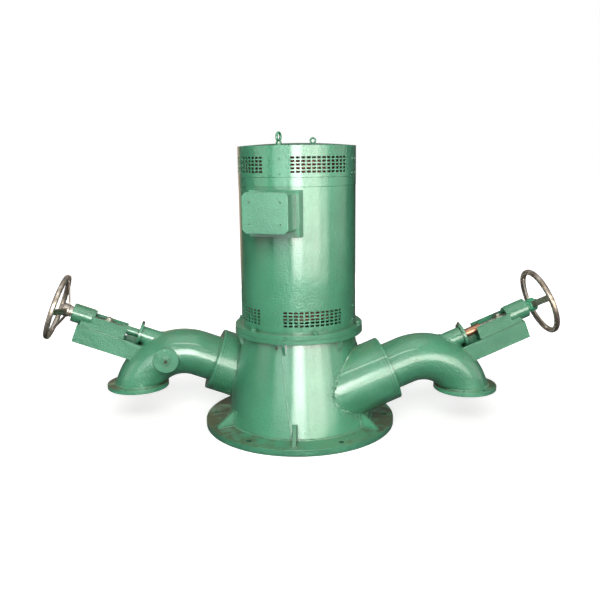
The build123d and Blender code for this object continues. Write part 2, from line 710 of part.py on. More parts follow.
def centre_pieces():
    """The pieces about the machine's own axis."""
    right_half, left_half = casing_halves()
    lower_vents = (LOWER_VENT_RISE, LOWER_VENT_AZIMUTH, LOWER_VENT_PITCH)
    upper_vents = (UPPER_VENT_RISE, UPPER_VENT_AZIMUTH, UPPER_VENT_PITCH)
    return {
        "base_flange": base_flange(),
        "right_casing": right_half,
        "left_casing": left_half,
        "casing_top_flange": casing_top_flange(),
        "base_gussets": base_gussets(),
        "top_gussets": top_gussets(),
        "generator_foot": generator_foot(),
        "lower_vent_band": vent_band(BAND_Z, LOWER_BAND_H, *lower_vents),
        "generator_frame": generator_frame(),
        "frame_ring": frame_ring(),
        "upper_vent_band": vent_band(UPPER_BAND_Z, UPPER_BAND_H, *upper_vents),
        "top_cover": top_cover(),
        "lifting_eyes": lifting_eyes(),
        "lower_winding": coil(FRAME_Z - LOWER_COIL_H, LOWER_COIL_H),
        "upper_winding": coil(UPPER_BAND_Z, UPPER_COIL_H),
        "main_shaft": shaft(),
        "runner": runner(),
        "terminal_saddle": terminal_saddle(),
        "terminal_body": terminal_body(),
        "terminal_lid": terminal_lid(),
    }


def arm_pieces():
    """The fixed pieces of the right arm."""
    upper_elbow, lower_elbow = elbow_parts()
    return {
        "nozzle_stub": nozzle_stub(),
        "joint_flange": joint_flange(),
        "nozzle": nozzle(),
        "neck_pipe": neck_pipe(),
        "upper_elbow": upper_elbow,
        "lower_elbow": lower_elbow,
        "inlet_flange": inlet_flange(),
        "cover_neck": cover_neck(),
        "cover": cover(),
        "stem_tube": stem_tube(),
        "gland": gland(),
        "gland_bush": gland_bush(),
        "trough": trough(),
        "bracket": bracket(),
        "boss": boss(),
    }


def main():
    """Builds every node and writes one STEP file for each."""
    nodes = centre_pieces()
    for name, shape in arm_pieces().items():
        nodes["right_" + name] = shape
        nodes["left_" + name] = HALF_TURN * shape
    nodes["right_needle_rod"] = needle_rod(RIGHT_CLAMP_S)
    nodes["left_needle_rod"] = HALF_TURN * needle_rod(LEFT_CLAMP_S)
    nodes["right_handwheel"] = handwheel(RIGHT_WHEEL_PHASE)
    nodes["left_handwheel"] = HALF_TURN * handwheel(LEFT_WHEEL_PHASE)
    os.makedirs("parts", exist_ok=True)
    for name, shape in nodes.items():
        export_step(shape, "parts/" + name + ".step")


if __name__ == "__main__":
    main()
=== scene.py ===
"""Looks of a vertical water-turbine generating set with two inclined needle nozzles.

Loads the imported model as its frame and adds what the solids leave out: bolts, screws, weld
beads, coil ends, finishes, floor, lights and camera. Sizes in the code are millimetres, in
the machine's frame: Z is up, the nozzles lie along X. On an arm, s runs outwards along the
needle axis, n upwards across it and w sideways towards +Y. The left arm is the right one
turned by half a turn.
"""

from math import cos, radians, sin

import bpy
import numpy as np
from bpy.props import FloatProperty, FloatVectorProperty, IntProperty, PointerProperty
from mathutils import Matrix


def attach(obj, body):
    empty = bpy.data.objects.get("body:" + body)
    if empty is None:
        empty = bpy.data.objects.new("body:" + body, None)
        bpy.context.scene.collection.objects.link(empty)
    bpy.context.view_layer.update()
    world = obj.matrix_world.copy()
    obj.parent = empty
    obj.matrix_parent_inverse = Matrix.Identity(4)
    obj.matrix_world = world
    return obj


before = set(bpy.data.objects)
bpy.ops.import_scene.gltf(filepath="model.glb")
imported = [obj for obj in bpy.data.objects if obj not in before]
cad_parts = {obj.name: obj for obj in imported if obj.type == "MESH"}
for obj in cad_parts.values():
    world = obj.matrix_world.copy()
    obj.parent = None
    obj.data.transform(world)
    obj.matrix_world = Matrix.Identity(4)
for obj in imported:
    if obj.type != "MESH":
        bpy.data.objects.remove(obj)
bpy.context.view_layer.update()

bl_info = {
    "name": "Turbine set finishes",
    "version": (1, 0, 0),
    "blender": (4, 5, 0),
    "location": "3D View > Sidebar > Turbine",
    "description": "Fasteners, welds, coil ends, paint and stage for a two-nozzle turbine set",
    "category": "Add Mesh",
}

MM = 0.001
SLOPE = radians(21.5)
OUT = np.array((cos(SLOPE), 0.0, sin(SLOPE)))
UP = np.array((-sin(SLOPE), 0.0, cos(SLOPE)))
SIDEWAYS = np.array((0.0, 1.0, 0.0))
UPRIGHT = np.array((0.0, 0.0, 1.0))
ARM_ORIGIN = np.array((0.0, -141.0, 127.0))
ORIGIN = (0.0, 0.0, 0.0)
ARMS = {"right": np.array((1.0, 1.0, 1.0)), "left": np.array((-1.0, -1.0, 1.0))}

BASE_TOP = 30.0
CASING_BOTTOM_R = 347.0
CASING_TOP_R = 261.0
CASING_TOP = 450.0
SEAM_AZIMUTHS = (-13.4, -24.7)
STUB_R = 150.0
LINE_STATIONS = (418.0, 405.0)
PIPE_R = 109.5
BEND_R = 225.0
BEND_START = 512.0
JOINT_FACE = 431.0
INLET_FACE = 185.0
STEM_R = 42.0
NECK_R = 50.0
COVER_FACE = 124.0
COVER_ANGLE = radians(19.0)
BEND_CENTRE = ARM_ORIGIN + BEND_START * OUT - BEND_R * UP
COVER_CENTRE = BEND_CENTRE + BEND_R * np.array((sin(COVER_ANGLE), 0.0, cos(COVER_ANGLE)))
CHANNEL_HALF = 50.0
CHANNEL_BOTTOM = -125.0
CHANNEL_TOP = -42.0
BAND_R = 268.0
FOOT_FACE = 491.0
LID_FACE = 398.0
GLAND_START = 806.0
GLAND_R = 56.0
GLAND_T = 14.0
LID_AZIMUTH = -26.7
WEB_AZIMUTH = -10.7
WEB_TOP = 98.0
WEB_TOE = 424.0
FOOT_BOLT_R = 284.0
FOOT_BOLT_AZIMUTH = 8.0
BASE_HOLE_R = 12.6
BASE_HOLE_CIRCLE = 407.5
BASE_HOLE_AZIMUTH = 19.3
COIL_R = 233.0
COIL_LEAN = 5.5
TIE_R = 238.5
GUIDE_R = 228.0
GUIDE_HEIGHT = 1256.0
SIXTHS = 60.0 * np.arange(6)
CREASE = radians(38.0)
# How low a fastener begins, under the face that it sits on
SUNK = -0.6
# Azimuth and height of the casing's drain plug
PLUG = (-29.0, 422.0)
# From the cover's middle to its small bolt
COVER_BOLT = (40.0, 0.0, 37.0)
# Along the needle axis, the channel's edges beside the screw boss
BOSS_SPAN = (1047.0, 1099.0)
# Two opposite corners of the web under the gland bush, along, up and across the arm
BUSH_WEB = ((GLAND_START + GLAND_T, -119.0, -3.0), (872.0, -19.0, 3.0))
# Radius and angles of the small screw on each joint flange
JOINT_SCREW_R = 140.0
JOINT_SCREW_ANGLES = {"right": radians(-3.0), "left": radians(-43.0)}
# Radius, azimuth and height of the stained corner of the terminal saddle
SADDLE_CORNER = (296.0, -8.0, 925.0)
# Name, low end, high end and seed of each ring of coil ends
COILS = (("lower", 545.0, 640.0, 3), ("upper", 1178.0, 1238.0, 5))
# Metres: radius of a hub's paint, and along the needle axis the thread's pitch and start
HUB_R = 0.034
THREAD_PITCH = 0.004
CLAMP_ENDS = {"right": 1.017, "left": 0.989}
# Azimuth and height of the vent covers' screws, which repeat every quarter turn
VENT_SCREWS = (
    (-32.3, 1246.0), (-23.1, 1246.0), (-32.3, 1184.0), (-23.1, 1184.0), (-30.0, 585.0), (-30.0, 522.0),
)


def machine_point(radius, azimuth, height):
    """Points at a radius, an azimuth from -Y towards +X in degrees, and a height."""
    angle = np.radians(azimuth)
    parts = np.broadcast_arrays(radius * np.sin(angle), -radius * np.cos(angle), height)
    return np.stack(parts, axis=-1).astype(float)


def outward(azimuth):
    """Unit vectors that point away from the machine's axis."""
    return machine_point(1.0, azimuth, 0.0)


def arm_point(s, n, w):
    """Points of the right arm: origin + s along the axis + n up across it + w sideways."""
    s, n, w = (part[..., None] for part in np.broadcast_arrays(s, n, w))
    return ARM_ORIGIN + s * OUT + n * UP + w * SIDEWAYS


def unit(vectors):
    """Vectors divided by their lengths."""
    return vectors / np.linalg.norm(vectors, axis=-1, keepdims=True)


def even_turn(steps):
    """Angles of even steps round a circle."""
    return np.linspace(0.0, 2 * np.pi, steps + 1)[:-1]


def tube_skin(radius, turn):
    """A tube about an arm's axis, at angles round it: its n, its w and its normals."""
    n, w = radius * np.cos(turn), radius * np.sin(turn)
    return n, w, unit(n[:, None] * UP + w[:, None] * SIDEWAYS)


def ring_corners(first, second, steps):
    """Corners of the faces between rings, given where each ring and the one after it begin.

    They are four columns: a point of a ring, the same one of the ring after it, the next one
    there, and the next one of the ring itself.
    """
    here = np.arange(steps)
    after = (here + 1) % steps
    first, second = first[:, None], second[:, None]
    corners = np.stack((first + here, second + here, second + after, first + after), axis=-1)
    return corners.reshape(-1, 4), here, after


def turned_form(profile, steps, flat=None):
    """Points, quads and triangles of a closed form turned about its own axis.

    The point at angle a of profile row (r, h) is (r cos a, r sin a, h). With a flat f, r is at
    most f / cos of the angle to the nearest flat's middle, which makes a hexagon. The profile
    runs upwards and its first and last rows lie on the axis.
    """
    profile = np.array(profile)
    angle = np.arange(steps) * (2 * np.pi / steps)
    radius = np.repeat(profile[1:-1, :1], steps, axis=1)
    height = np.repeat(profile[1:-1, 1:], steps, axis=1)
    if flat:
        from_flat = (angle + np.pi / 6) % (np.pi / 3) - np.pi / 6
        radius = np.minimum(radius, flat / np.cos(from_flat))
    rings = np.stack((radius * np.cos(angle), radius * np.sin(angle), height), axis=-1)
    bottom = [[0.0, 0.0, profile[0, 1]]]
    top = [[0.0, 0.0, profile[-1, 1]]]
    points = np.vstack((bottom, rings.reshape(-1, 3), top))
    rows = 1 + np.arange(len(profile) - 3) * steps
    corners, here, after = ring_corners(rows, rows + steps, steps)
    last = len(points) - 1 - steps
    low = np.stack((np.zeros(steps, int), 1 + after, 1 + here), -1)
    high = np.stack((last + here, last + after, np.full(steps, len(points) - 1)), -1)
    return points, corners[:, [0, 3, 2, 1]], np.vstack((low, high))


def copies(form, places, axes, starts=None):
    """A form set at many places: x runs along start, z along the axis, y along axis x start."""
    points, quads, triangles = form
    places = np.atleast_2d(places)
    axes = np.broadcast_to(unit(np.atleast_2d(axes)), places.shape)
    if starts is None:
        level = np.abs(axes[:, 2:]) < 0.9
        starts = unit(np.cross(np.where(level, UPRIGHT, SIDEWAYS), axes))
    starts = np.broadcast_to(starts, places.shape)
    sides = np.cross(axes, starts)
    x, y, z = (points[None, :, i:i + 1] for i in range(3))
    placed = places[:, None] + x * starts[:, None] + y * sides[:, None] + z * axes[:, None]
    shift = (np.arange(len(places)) * len(points))[:, None, None]
    return placed.reshape(-1, 3), (quads + shift).reshape(-1, 4), (triangles + shift).reshape(-1, 3)


def slow_wave(distance, seed, length):
    """A smooth wandering value from -1 to 1: the mean of five sines of unlike wavelengths."""
    dice = np.random.default_rng(seed)
    lengths = length * dice.uniform(0.4, 1.7, 5)
    phases = dice.uniform(0.0, 2 * np.pi, 5)
    return np.sin(2 * np.pi * distance[:, None] / lengths + phases).mean(axis=1)


def rope_form(path, up, width, height, closed, step=2.4, ripple=0.0, seed=0):
    """Points, quads and triangles of a bead laid along a path.

    The path is cut into even steps of its length. The point at step t and angle a is
    p(t) + g(t) (width cos a across + height sin a up). The growth g is 1 plus a ripple that
    follows a sine of the distance run, and a slow wander.
    """
    if closed:
        path = np.vstack((path, path[:1]))
        up = np.vstack((up, up[:1]))
    run = np.concatenate(([0.0], np.cumsum(np.linalg.norm(np.diff(path, axis=0), axis=1))))
    count = max(int(run[-1] / step), 8)
    at = np.linspace(0.0, run[-1], count, endpoint=not closed)
    centre = np.stack([np.interp(at, run, path[:, i]) for i in range(3)], axis=-1)
    lift = unit(np.stack([np.interp(at, run, up[:, i]) for i in range(3)], axis=-1))
    if closed:
        along = np.roll(centre, -1, axis=0) - np.roll(centre, 1, axis=0)
    else:
        along = np.gradient(centre, axis=0)
    across = unit(np.cross(along, lift))
    beat = np.abs(np.sin(np.pi * at / 7.0)) - 0.5
    growth = 1 + ripple * beat + ripple * slow_wave(at, seed, 60.0)
    wander = ripple * 1.6 * slow_wave(at, seed + 1, 45.0)
    sides = 10
    angle = np.arange(sides) * (2 * np.pi / sides)
    flat = width * growth[:, None] * np.cos(angle) + wander[:, None]
    tall = height * growth[:, None] * np.sin(angle)
    rings = centre[:, None] + flat[..., None] * across[:, None] + tall[..., None] * lift[:, None]
    points = rings.reshape(-1, 3)
    first = np.arange(count if closed else count - 1) * sides
    quads, here, after = ring_corners(first, (first + sides) % (count * sides), sides)
    if closed:
        return points, quads, np.zeros((0, 3), int)
    points = np.vstack((points, centre[:1], centre[-1:]))
    last = (count - 1) * sides
    start = np.stack((here, after, np.full(sides, len(points) - 2)), -1)
    end = np.stack((last + after, last + here, np.full(sides, len(points) - 1)), -1)
    return points, quads, np.vstack((start, end))


def piece(name, forms, material, side=None, body="set"):
    """Puts forms into one mesh in metres, at the origin, riding on a body.

    With a side it is one of two like pieces, and the left one is turned by half a turn.
    """
    points, quads, triangles, shift = [], [], [], 0
    for form in forms:
        points.append(form[0])
        quads += (form[1] + shift).tolist()
        triangles += (form[2] + shift).tolist()
        shift += len(form[0])
    places = np.vstack(points) * MM
    if side:
        name = f"{side}_{name}"
        places = places * ARMS[side]
    mesh = bpy.data.meshes.new(name)
    mesh.from_pydata(places.tolist(), [], quads + triangles)
    mesh.polygons.foreach_set("use_smooth", np.ones(len(mesh.polygons), bool))
    mesh.set_sharp_from_angle(angle=CREASE)
    mesh.materials.append(bpy.data.materials[material])
    made = bpy.data.objects.new(name, mesh)
    bpy.context.scene.collection.objects.link(made)
    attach(made, body)


def fill(tree, made, values):
    """Fills a node's inputs with values or links."""
    for key, value in values.items():
        if isinstance(value, bpy.types.NodeSocket):
            tree.links.new(value, made.inputs[key])
        else:
            made.inputs[key].default_value = value


def node(tree, kind, values, **settings):
    """Adds a shader node, applies its settings and fills its inputs."""
    made = tree.nodes.new(kind)
    for key, value in settings.items():
        setattr(made, key, value)
    fill(tree, made, values)
    return made


def new_group(name, inputs, outputs):
    """An empty node group and the sockets of its input and output nodes.

    Each input has a default: one number, a place of three or a colour of four. An output is a
    colour where its name says so, and else a number.
    """
    kinds = {1: "NodeSocketFloat", 3: "NodeSocketVector", 4: "NodeSocketColor"}
    group = bpy.data.node_groups.new(name, "ShaderNodeTree")
    for title, value in inputs.items():
        kind = kinds[np.size(value)]
        socket = group.interface.new_socket(title, in_out="INPUT", socket_type=kind)
        socket.default_value = value
    for title in outputs:
        kind = kinds[4 if title == "Colour" else 1]
        group.interface.new_socket(title, in_out="OUTPUT", socket_type=kind)
    source = group.nodes.new("NodeGroupInput").outputs
    return group, source, group.nodes.new("NodeGroupOutput")


def mix_colour(tree, share, low, high):
    """Colour between low and high."""
    values = {"Factor": share, 6: low, 7: high}
    return node(tree, "ShaderNodeMix", values, data_type="RGBA").outputs[2]


def remap(tree, value, low, high, to_low=0.0, to_high=1.0):
    """Value stretched from one range onto another, and kept inside it."""
    values = {"Value": value, 1: low, 2: high, 3: to_low, 4: to_high}
    return node(tree, "ShaderNodeMapRange", values).outputs[0]


def maths(tree, operation, first, second=0.0):
    """One arithmetic step."""
    return node(tree, "ShaderNodeMath", {0: first, 1: second}, operation=operation).outputs[0]


def vector_maths(tree, operation, first, second=ORIGIN, result="Value"):
    """One step of vector arithmetic."""
    made = node(tree, "ShaderNodeVectorMath", {0: first, 1: second}, operation=operation)
    return made.outputs[result]


def times(tree, first, second):
    """Product of two values."""
    return maths(tree, "MULTIPLY", first, second)


def rest_of(tree, share):
    """What a share leaves of one."""
    return maths(tree, "SUBTRACT", 1.0, share)


def upward(tree, vector):
    """The Z part of a vector."""
    return node(tree, "ShaderNodeSeparateXYZ", {0: vector}).outputs["Z"]


def corner_light(tree, distance, samples=6):
    """How open a place is: less in corners, within a distance."""
    made = node(tree, "ShaderNodeAmbientOcclusion", {"Distance": distance}, samples=samples)
    return made.outputs["AO"]


def noise(tree, vector, scale, detail=3.0, roughness=0.5):
    """Noise value at a number of features per metre."""
    values = {"Vector": vector, "Scale": scale, "Detail": detail, "Roughness": roughness}
    return node(tree, "ShaderNodeTexNoise", values).outputs["Fac"]


def mottle_group():
    """Group that drifts between two colours: broad clouds plus fine flecks."""
    sockets = {
        "Vector": ORIGIN, "Colour A": (0.1, 0.3, 0.2, 1.0), "Colour B": (0.2, 0.4, 0.3, 1.0),
        "Broad": 3.0, "Fine": 60.0,
    }
    group, source, result = new_group("Mottle", sockets, ("Colour", "Clouds"))
    broad = remap(group, noise(group, source["Vector"], source["Broad"]), 0.3, 0.7)
    fine = noise(group, source["Vector"], source["Fine"], 4.0, 0.6)
    share = maths(group, "ADD", times(group, broad, 0.7), times(group, fine, 0.35))
    colour = mix_colour(group, share, source["Colour A"], source["Colour B"])
    fill(group, result, {"Colour": colour, "Clouds": broad})
    return group


def peel_group():
    """Group for the height of sprayed paint: orange peel, slow waves of the plate and dust nibs."""
    sockets = {"Vector": ORIGIN, "Peel size": 130.0, "Peel": 0.4, "Wave": 1.0, "Nibs": 0.3}
    group, source, result = new_group("Sprayed surface", sockets, ("Height",))
    place = source["Vector"]
    peel = noise(group, place, source["Peel size"], 2.0)
    wave = noise(group, place, 12.0, 2.0)
    nib = remap(group, noise(group, place, 260.0, 1.0), 0.66, 0.78)
    height = times(group, peel, source["Peel"])
    height = maths(group, "ADD", height, times(group, wave, source["Wave"]))
    height = maths(group, "ADD", height, times(group, nib, source["Nibs"]))
    fill(group, result, {"Height": height})
    return group


def wear_and_highlight_group():
    """Group for a mask along edges: where a rounded normal leaves the true one, broken by noise."""
    sockets = {"Vector": ORIGIN, "Width": 0.0015, "Amount": 0.5}
    group, source, result = new_group("Edge wear and highlight", sockets, ("Mask",))
    rounded = node(group, "ShaderNodeBevel", {"Radius": source["Width"]}, samples=4).outputs[0]
    true = node(group, "ShaderNodeNewGeometry", {}).outputs["Normal"]
    close = vector_maths(group, "DOT_PRODUCT", rounded, true)
    edge = remap(group, rest_of(group, close), 0.02, 0.25)
    broken = remap(group, noise(group, source["Vector"], 90.0, 4.0, 0.6), 0.35, 0.6)
    fill(group, result, {"Mask": times(group, times(group, edge, broken), source["Amount"])})
    return group


def dust_group():
    """Group for a mask of settled dust: faces that look up, in patches."""
    sockets = {"Vector": ORIGIN, "Amount": 0.5}
    group, source, result = new_group("Settled dust", sockets, ("Mask",))
    facing = upward(group, node(group, "ShaderNodeNewGeometry", {}).outputs["Normal"])
    patches = remap(group, noise(group, source["Vector"], 14.0, 5.0, 0.6), 0.3, 0.7)
    mask = times(group, remap(group, facing, 0.35, 0.95), patches)
    fill(group, result, {"Mask": times(group, mask, source["Amount"])})
    return group


def spot_group():
    """Group for a round mask about one place, frayed by noise."""
    sockets = {"Vector": ORIGIN, "Place": ORIGIN, "Size": 0.03}
    group, source, result = new_group("Stain spot", sockets, ("Mask",))
    away = vector_maths(group, "DISTANCE", source["Vector"], source["Place"])
    share = maths(group, "DIVIDE", away, source["Size"])
    frayed = maths(group, "ADD", share, noise(group, source["Vector"], 45.0, 5.0, 0.65))
    fill(group, result, {"Mask": remap(group, frayed, 0.7, 1.35, 1.0, 0.0)})
    return group


GROUP_MAKERS = {
    "Mottle": mottle_group,
    "Sprayed surface": peel_group,
    "Edge wear and highlight": wear_and_highlight_group,
    "Settled dust": dust_group,
    "Stain spot": spot_group,
}


def placed_group(tree, name, values):
    """Outputs of one use of a shared group, which is built the first time."""
    made = tree.nodes.new("ShaderNodeGroup")
    made.node_tree = bpy.data.node_groups.get(name) or GROUP_MAKERS[name]()
    fill(tree, made, values)
    return made.outputs


def mottle(tree, place, low, high, **sizes):
    """Clouds between two colours: the colour, and the clouds' value."""
    values = {"Vector": place, "Colour A": low, "Colour B": high}
    values.update({key.title(): size for key, size in sizes.items()})
    made = placed_group(tree, "Mottle", values)
    return made["Colour"], made["Clouds"]


def mask_of(tree, name, vector, **values):
    """Mask of a shared group."""
    named = {key.title(): value for key, value in values.items()}
    return placed_group(tree, name, {"Vector": vector, **named})["Mask"]


def new_material(name):
    """Adds a material: its tree, its shader and its place vector."""
    material = bpy.data.materials.new(name)
    material.use_nodes = True
    tree = material.node_tree
    tree.nodes.clear()
    shader = tree.nodes.new("ShaderNodeBsdfPrincipled")
    result = tree.nodes.new("ShaderNodeOutputMaterial")
    tree.links.new(shader.outputs[0], result.inputs[0])
    place = tree.nodes.new("ShaderNodeTexCoord").outputs["Object"]
    return tree, shader, place


def rough_relief(tree, shader, height, distance, round_r=0.0012):
    """Feeds a height into the shader as relief, over edges rounded by a radius."""
    values = {"Height": height, "Distance": distance, "Strength": 1.0}
    if round_r:
        values["Normal"] = node(tree, "ShaderNodeBevel", {"Radius": round_r}, samples=4).outputs[0]
    fill(tree, shader, {"Normal": node(tree, "ShaderNodeBump", values).outputs[0]})


def green_paint(name, look, relief=1.0, dust=0.5, stains=(), browned=None, shade=0.0, joined=False):
    """Gloss green machine paint: clouds of two greens, dust, painted shade in corners, and pale
    edges that are partly wear and partly painted highlight.

    Browned is a place and a size: what looks up turns dark brown, except round that place.
    Shade paints shade over the whole paint, darkening it towards the painted shade colour. A
    joined solid keeps its edges plain, so that its joint with the next solid doesn't show.
    """
    tree, shader, place = new_material(name)
    colour, clouds = mottle(tree, place, look.deep_green, look.light_green)
    # Painted shade: corners darken towards the painted shade colour, where ambient occlusion finds
    # them.
    corner_shade = remap(tree, corner_light(tree, 0.03), 0.25, 0.8, look.corner_shade, 0.0)
    colour = mix_colour(tree, corner_shade, colour, look.painted_shade_colour)
    spoiled = mask_of(tree, "Settled dust", place, amount=dust)
    colour = mix_colour(tree, spoiled, colour, look.dust_colour)
    # Pale edges, unless joined: partly wear, partly painted highlight.
    if not joined:
        wear_and_highlight = mask_of(tree, "Edge wear and highlight", place, amount=look.edge_wear_and_highlight)
        colour = mix_colour(tree, wear_and_highlight, colour, look.wear_and_highlight_colour)
    # Faces that look up turn dark brown, except round one place.
    if browned:
        spared = mask_of(tree, "Stain spot", place, place=browned[0], size=browned[1])
        film = mask_of(tree, "Settled dust", place, amount=1.7)
        film = maths(tree, "MINIMUM", times(tree, film, rest_of(tree, spared)), 0.85)
        colour = mix_colour(tree, film, colour, look.brown_top_colour)
        spoiled = maths(tree, "MAXIMUM", spoiled, film)
    for spot, size in stains:
        mask = times(tree, mask_of(tree, "Stain spot", place, place=spot, size=size), 0.75)
        colour = mix_colour(tree, mask, colour, look.stain_colour)
        spoiled = maths(tree, "MAXIMUM", spoiled, mask)
    # Painted shade over the whole paint.
    if shade:
        colour = mix_colour(tree, shade, colour, look.painted_shade_colour)
    gloss = remap(tree, clouds, 0.0, 1.0, look.gloss, look.gloss + 0.08)
    fill(tree, shader, {
        "Base Color": colour, "Roughness": maths(tree, "ADD", gloss, times(tree, spoiled, 0.3)),
        "Coat Weight": rest_of(tree, spoiled), "Coat Roughness": look.coat_roughness,
    })
    values = {"Vector": place, "Wave": 2.6 * relief, "Peel": 1.3 * relief}
    height = placed_group(tree, "Sprayed surface", values)["Height"]
    rough_relief(tree, shader, height, look.relief, 0.0 if joined else 0.0012)


def arm_axes(tree, place, side):
    """Distance along an arm's needle axis, and away from it, in metres."""
    origin = tuple(ARM_ORIGIN * ARMS[side] * MM)
    local = vector_maths(tree, "SUBTRACT", place, origin, "Vector")
    run = vector_maths(tree, "DOT_PRODUCT", local, tuple(OUT * ARMS[side]))
    whole = vector_maths(tree, "LENGTH", local)
    square = maths(tree, "SUBTRACT", times(tree, whole, whole), times(tree, run, run))
    return run, maths(tree, "SQRT", maths(tree, "MAXIMUM", square, 0.0))


def wheel_metal(name, side, look, paint, painted_hub):
    """Handled iron of a handwheel: brown skin, bright wear and painted highlights on edges
    and grips, painted highlights in the rim's pockets, painted dark reflection on downward
    faces, oily clouds.
    """
    tree, shader, place = new_material(name)
    colour, _ = mottle(tree, place, look.wheel_brown, look.wheel_grey, broad=22.0)
    # Bright edges and rubbed patches: partly wear, partly painted highlight.
    wear_and_highlight = mask_of(tree, "Edge wear and highlight", place, width=0.003, amount=0.9)
    rubbed = remap(tree, noise(tree, place, 35.0, 5.0, 0.65), 0.5, 0.68, 0.0, 0.8)
    bright = maths(tree, "MAXIMUM", wear_and_highlight, rubbed)
    colour = mix_colour(tree, bright, colour, look.wheel_wear_and_highlight)
    streak = remap(tree, noise(tree, place, 70.0, 4.0, 0.7), 0.52, 0.62, 0.0, 0.8)
    colour = mix_colour(tree, times(tree, streak, rest_of(tree, bright)), colour, look.wheel_dark)
    # Painted reflection of dark ground: faces that look down turn darker.
    normal = node(tree, "ShaderNodeNewGeometry", {}).outputs["Normal"]
    own = node(tree, "ShaderNodeVectorTransform", {0: normal}, vector_type="NORMAL",
               convert_from="WORLD", convert_to="OBJECT").outputs[0]
    dark_ground_reflection = remap(tree, upward(tree, own), -0.8, 0.1, 0.6, 0.0)
    colour = mix_colour(tree, dark_ground_reflection, colour, look.wheel_dark)
    # Painted highlight: bright metal in the rim's pockets, where ambient occlusion finds them.
    pocket_highlight = remap(tree, corner_light(tree, 0.008), 0.6, 0.92, 0.85, 0.0)
    colour = mix_colour(tree, pocket_highlight, colour, look.wheel_wear_and_highlight)
    metal = remap(tree, streak, 0.0, 1.0, 0.7, 0.4)
    rough = remap(tree, bright, 0.0, 1.0, 0.3, 0.22)
    if painted_hub:
        _, away = arm_axes(tree, place, side)
        hub = remap(tree, away, HUB_R - 0.0005, HUB_R + 0.0005, 1.0, 0.0)
        green, _ = mottle(tree, place, paint.deep_green, paint.light_green)
        colour = mix_colour(tree, hub, colour, green)
        metal = times(tree, metal, rest_of(tree, hub))
    fill(tree, shader, {"Base Color": colour, "Metallic": metal, "Roughness": rough})
    rough_relief(tree, shader, noise(tree, place, 240.0, 3.0, 0.6), 0.0006, 0.0015)


def rod_metal(name, side, look):
    """Steel rod: drawn lines along it, dark rubbed bands, and a thread past the clamp."""
    tree, shader, place = new_material(name)
    run, away = arm_axes(tree, place, side)
    colour, _ = mottle(tree, place, look.rod_dark, look.rod_steel, broad=60.0)
    flat = node(tree, "ShaderNodeCombineXYZ", {0: times(tree, run, 0.06), 1: away}).outputs[0]
    scratch = remap(tree, noise(tree, flat, 900.0, 3.0, 0.7), 0.45, 0.7)
    colour = mix_colour(tree, times(tree, scratch, 0.5), colour, look.rod_bright)
    turns = maths(tree, "SINE", times(tree, run, 2 * np.pi / THREAD_PITCH))
    start = CLAMP_ENDS[side]
    threaded = remap(tree, run, start, start + 0.001)
    groove = times(tree, remap(tree, turns, -1.0, 1.0), threaded)
    # The thread's grooves are painted darker: painted shade in them.
    colour = mix_colour(tree, times(tree, groove, 0.45), colour, look.rod_dark)
    rough = remap(tree, scratch, 0.0, 1.0, 0.3, 0.45)
    fill(tree, shader, {"Base Color": colour, "Metallic": 0.85, "Roughness": rough})
    rough_relief(tree, shader, maths(tree, "SUBTRACT", times(tree, scratch, 0.1), groove), 0.0012)


def turned_metal(name, look, light, dark):
    """Machined metal that has dulled: clouds of a light and a dark tone, and brown bloom."""
    tree, shader, place = new_material(name)
    colour, _ = mottle(tree, place, light, dark, broad=18.0)
    bloom = remap(tree, noise(tree, place, 26.0, 6.0, 0.65), 0.52, 0.7, 0.0, 0.7)
    fill(tree, shader, {
        "Base Color": mix_colour(tree, bloom, colour, look.wheel_brown),
        "Metallic": remap(tree, bloom, 0.0, 1.0, 0.95, 0.5),
        "Roughness": remap(tree, bloom, 0.0, 1.0, 0.32, 0.6),
    })
    rough_relief(tree, shader, noise(tree, place, 420.0, 3.0), 0.0004)


def winding_varnish(name, look):
    """Red-brown insulating varnish on coil ends: tape laps, dark clouds, painted shade in gaps.

    Each quarter turn, behind a vent cover, it stays red: cos(4 (azimuth - 6 degrees)) plus noise.
    Between the covers it is painted dark, as painted shade inside the casing.
    """
    tree, shader, place = new_material(name)
    colour, _ = mottle(tree, place, look.winding_dark, look.winding_red, broad=30.0)
    laps = node(tree, "ShaderNodeTexWave", {"Vector": place, "Scale": 38.0, "Distortion": 5.0},
                wave_type="BANDS", bands_direction="Z").outputs["Fac"]
    colour = mix_colour(tree, times(tree, laps, 0.35), colour, look.winding_light)
    # Painted shade in the gaps between coils, where ambient occlusion finds them.
    closed = remap(tree, corner_light(tree, 0.01, 4), 0.2, 0.9, 0.8, 0.0)
    colour = mix_colour(tree, closed, colour, look.winding_dark)
    # Painted shade inside the casing: red behind each vent cover, dark between them.
    parts = node(tree, "ShaderNodeSeparateXYZ", {0: place}).outputs
    turn = maths(tree, "ARCTAN2", parts["X"], times(tree, parts["Y"], -1.0))
    quarter = maths(tree, "COSINE", times(tree, maths(tree, "SUBTRACT", turn, radians(6.0)), 4.0))
    spared = maths(tree, "ADD", quarter, noise(tree, place, 30.0, 2.0))
    colour = mix_colour(tree, remap(tree, spared, 0.7, 1.3, 0.85, 0.0), colour, look.winding_dark)
    fill(tree, shader, {"Base Color": colour, "Roughness": remap(tree, laps, 0.0, 1.0, 0.3, 0.5)})
    rough_relief(tree, shader, laps, 0.0015)


def bore_dark(name, look):
    """Unpainted bore: rust brown over near black."""
    tree, shader, place = new_material(name)
    colour, clouds = mottle(tree, place, look.bore_brown, look.bore_black, broad=80.0)
    fill(tree, shader, {"Base Color": colour, "Roughness": remap(tree, clouds, 0.0, 1.0, 0.6, 0.9)})
    rough_relief(tree, shader, noise(tree, place, 500.0, 4.0), 0.0006)


def colour_value(name, about, value):
    """A colour property in scene-linear values."""
    return FloatVectorProperty(
        name=name, description=about, default=(*value, 1.0), size=4, subtype="COLOR", min=0.0, max=1.0,
    )


def number(name, about, value, low=0.0, high=1.0, unit="NONE"):
    """A number property between two limits."""
    return FloatProperty(name=name, description=about, default=value, min=low, max=high, unit=unit)


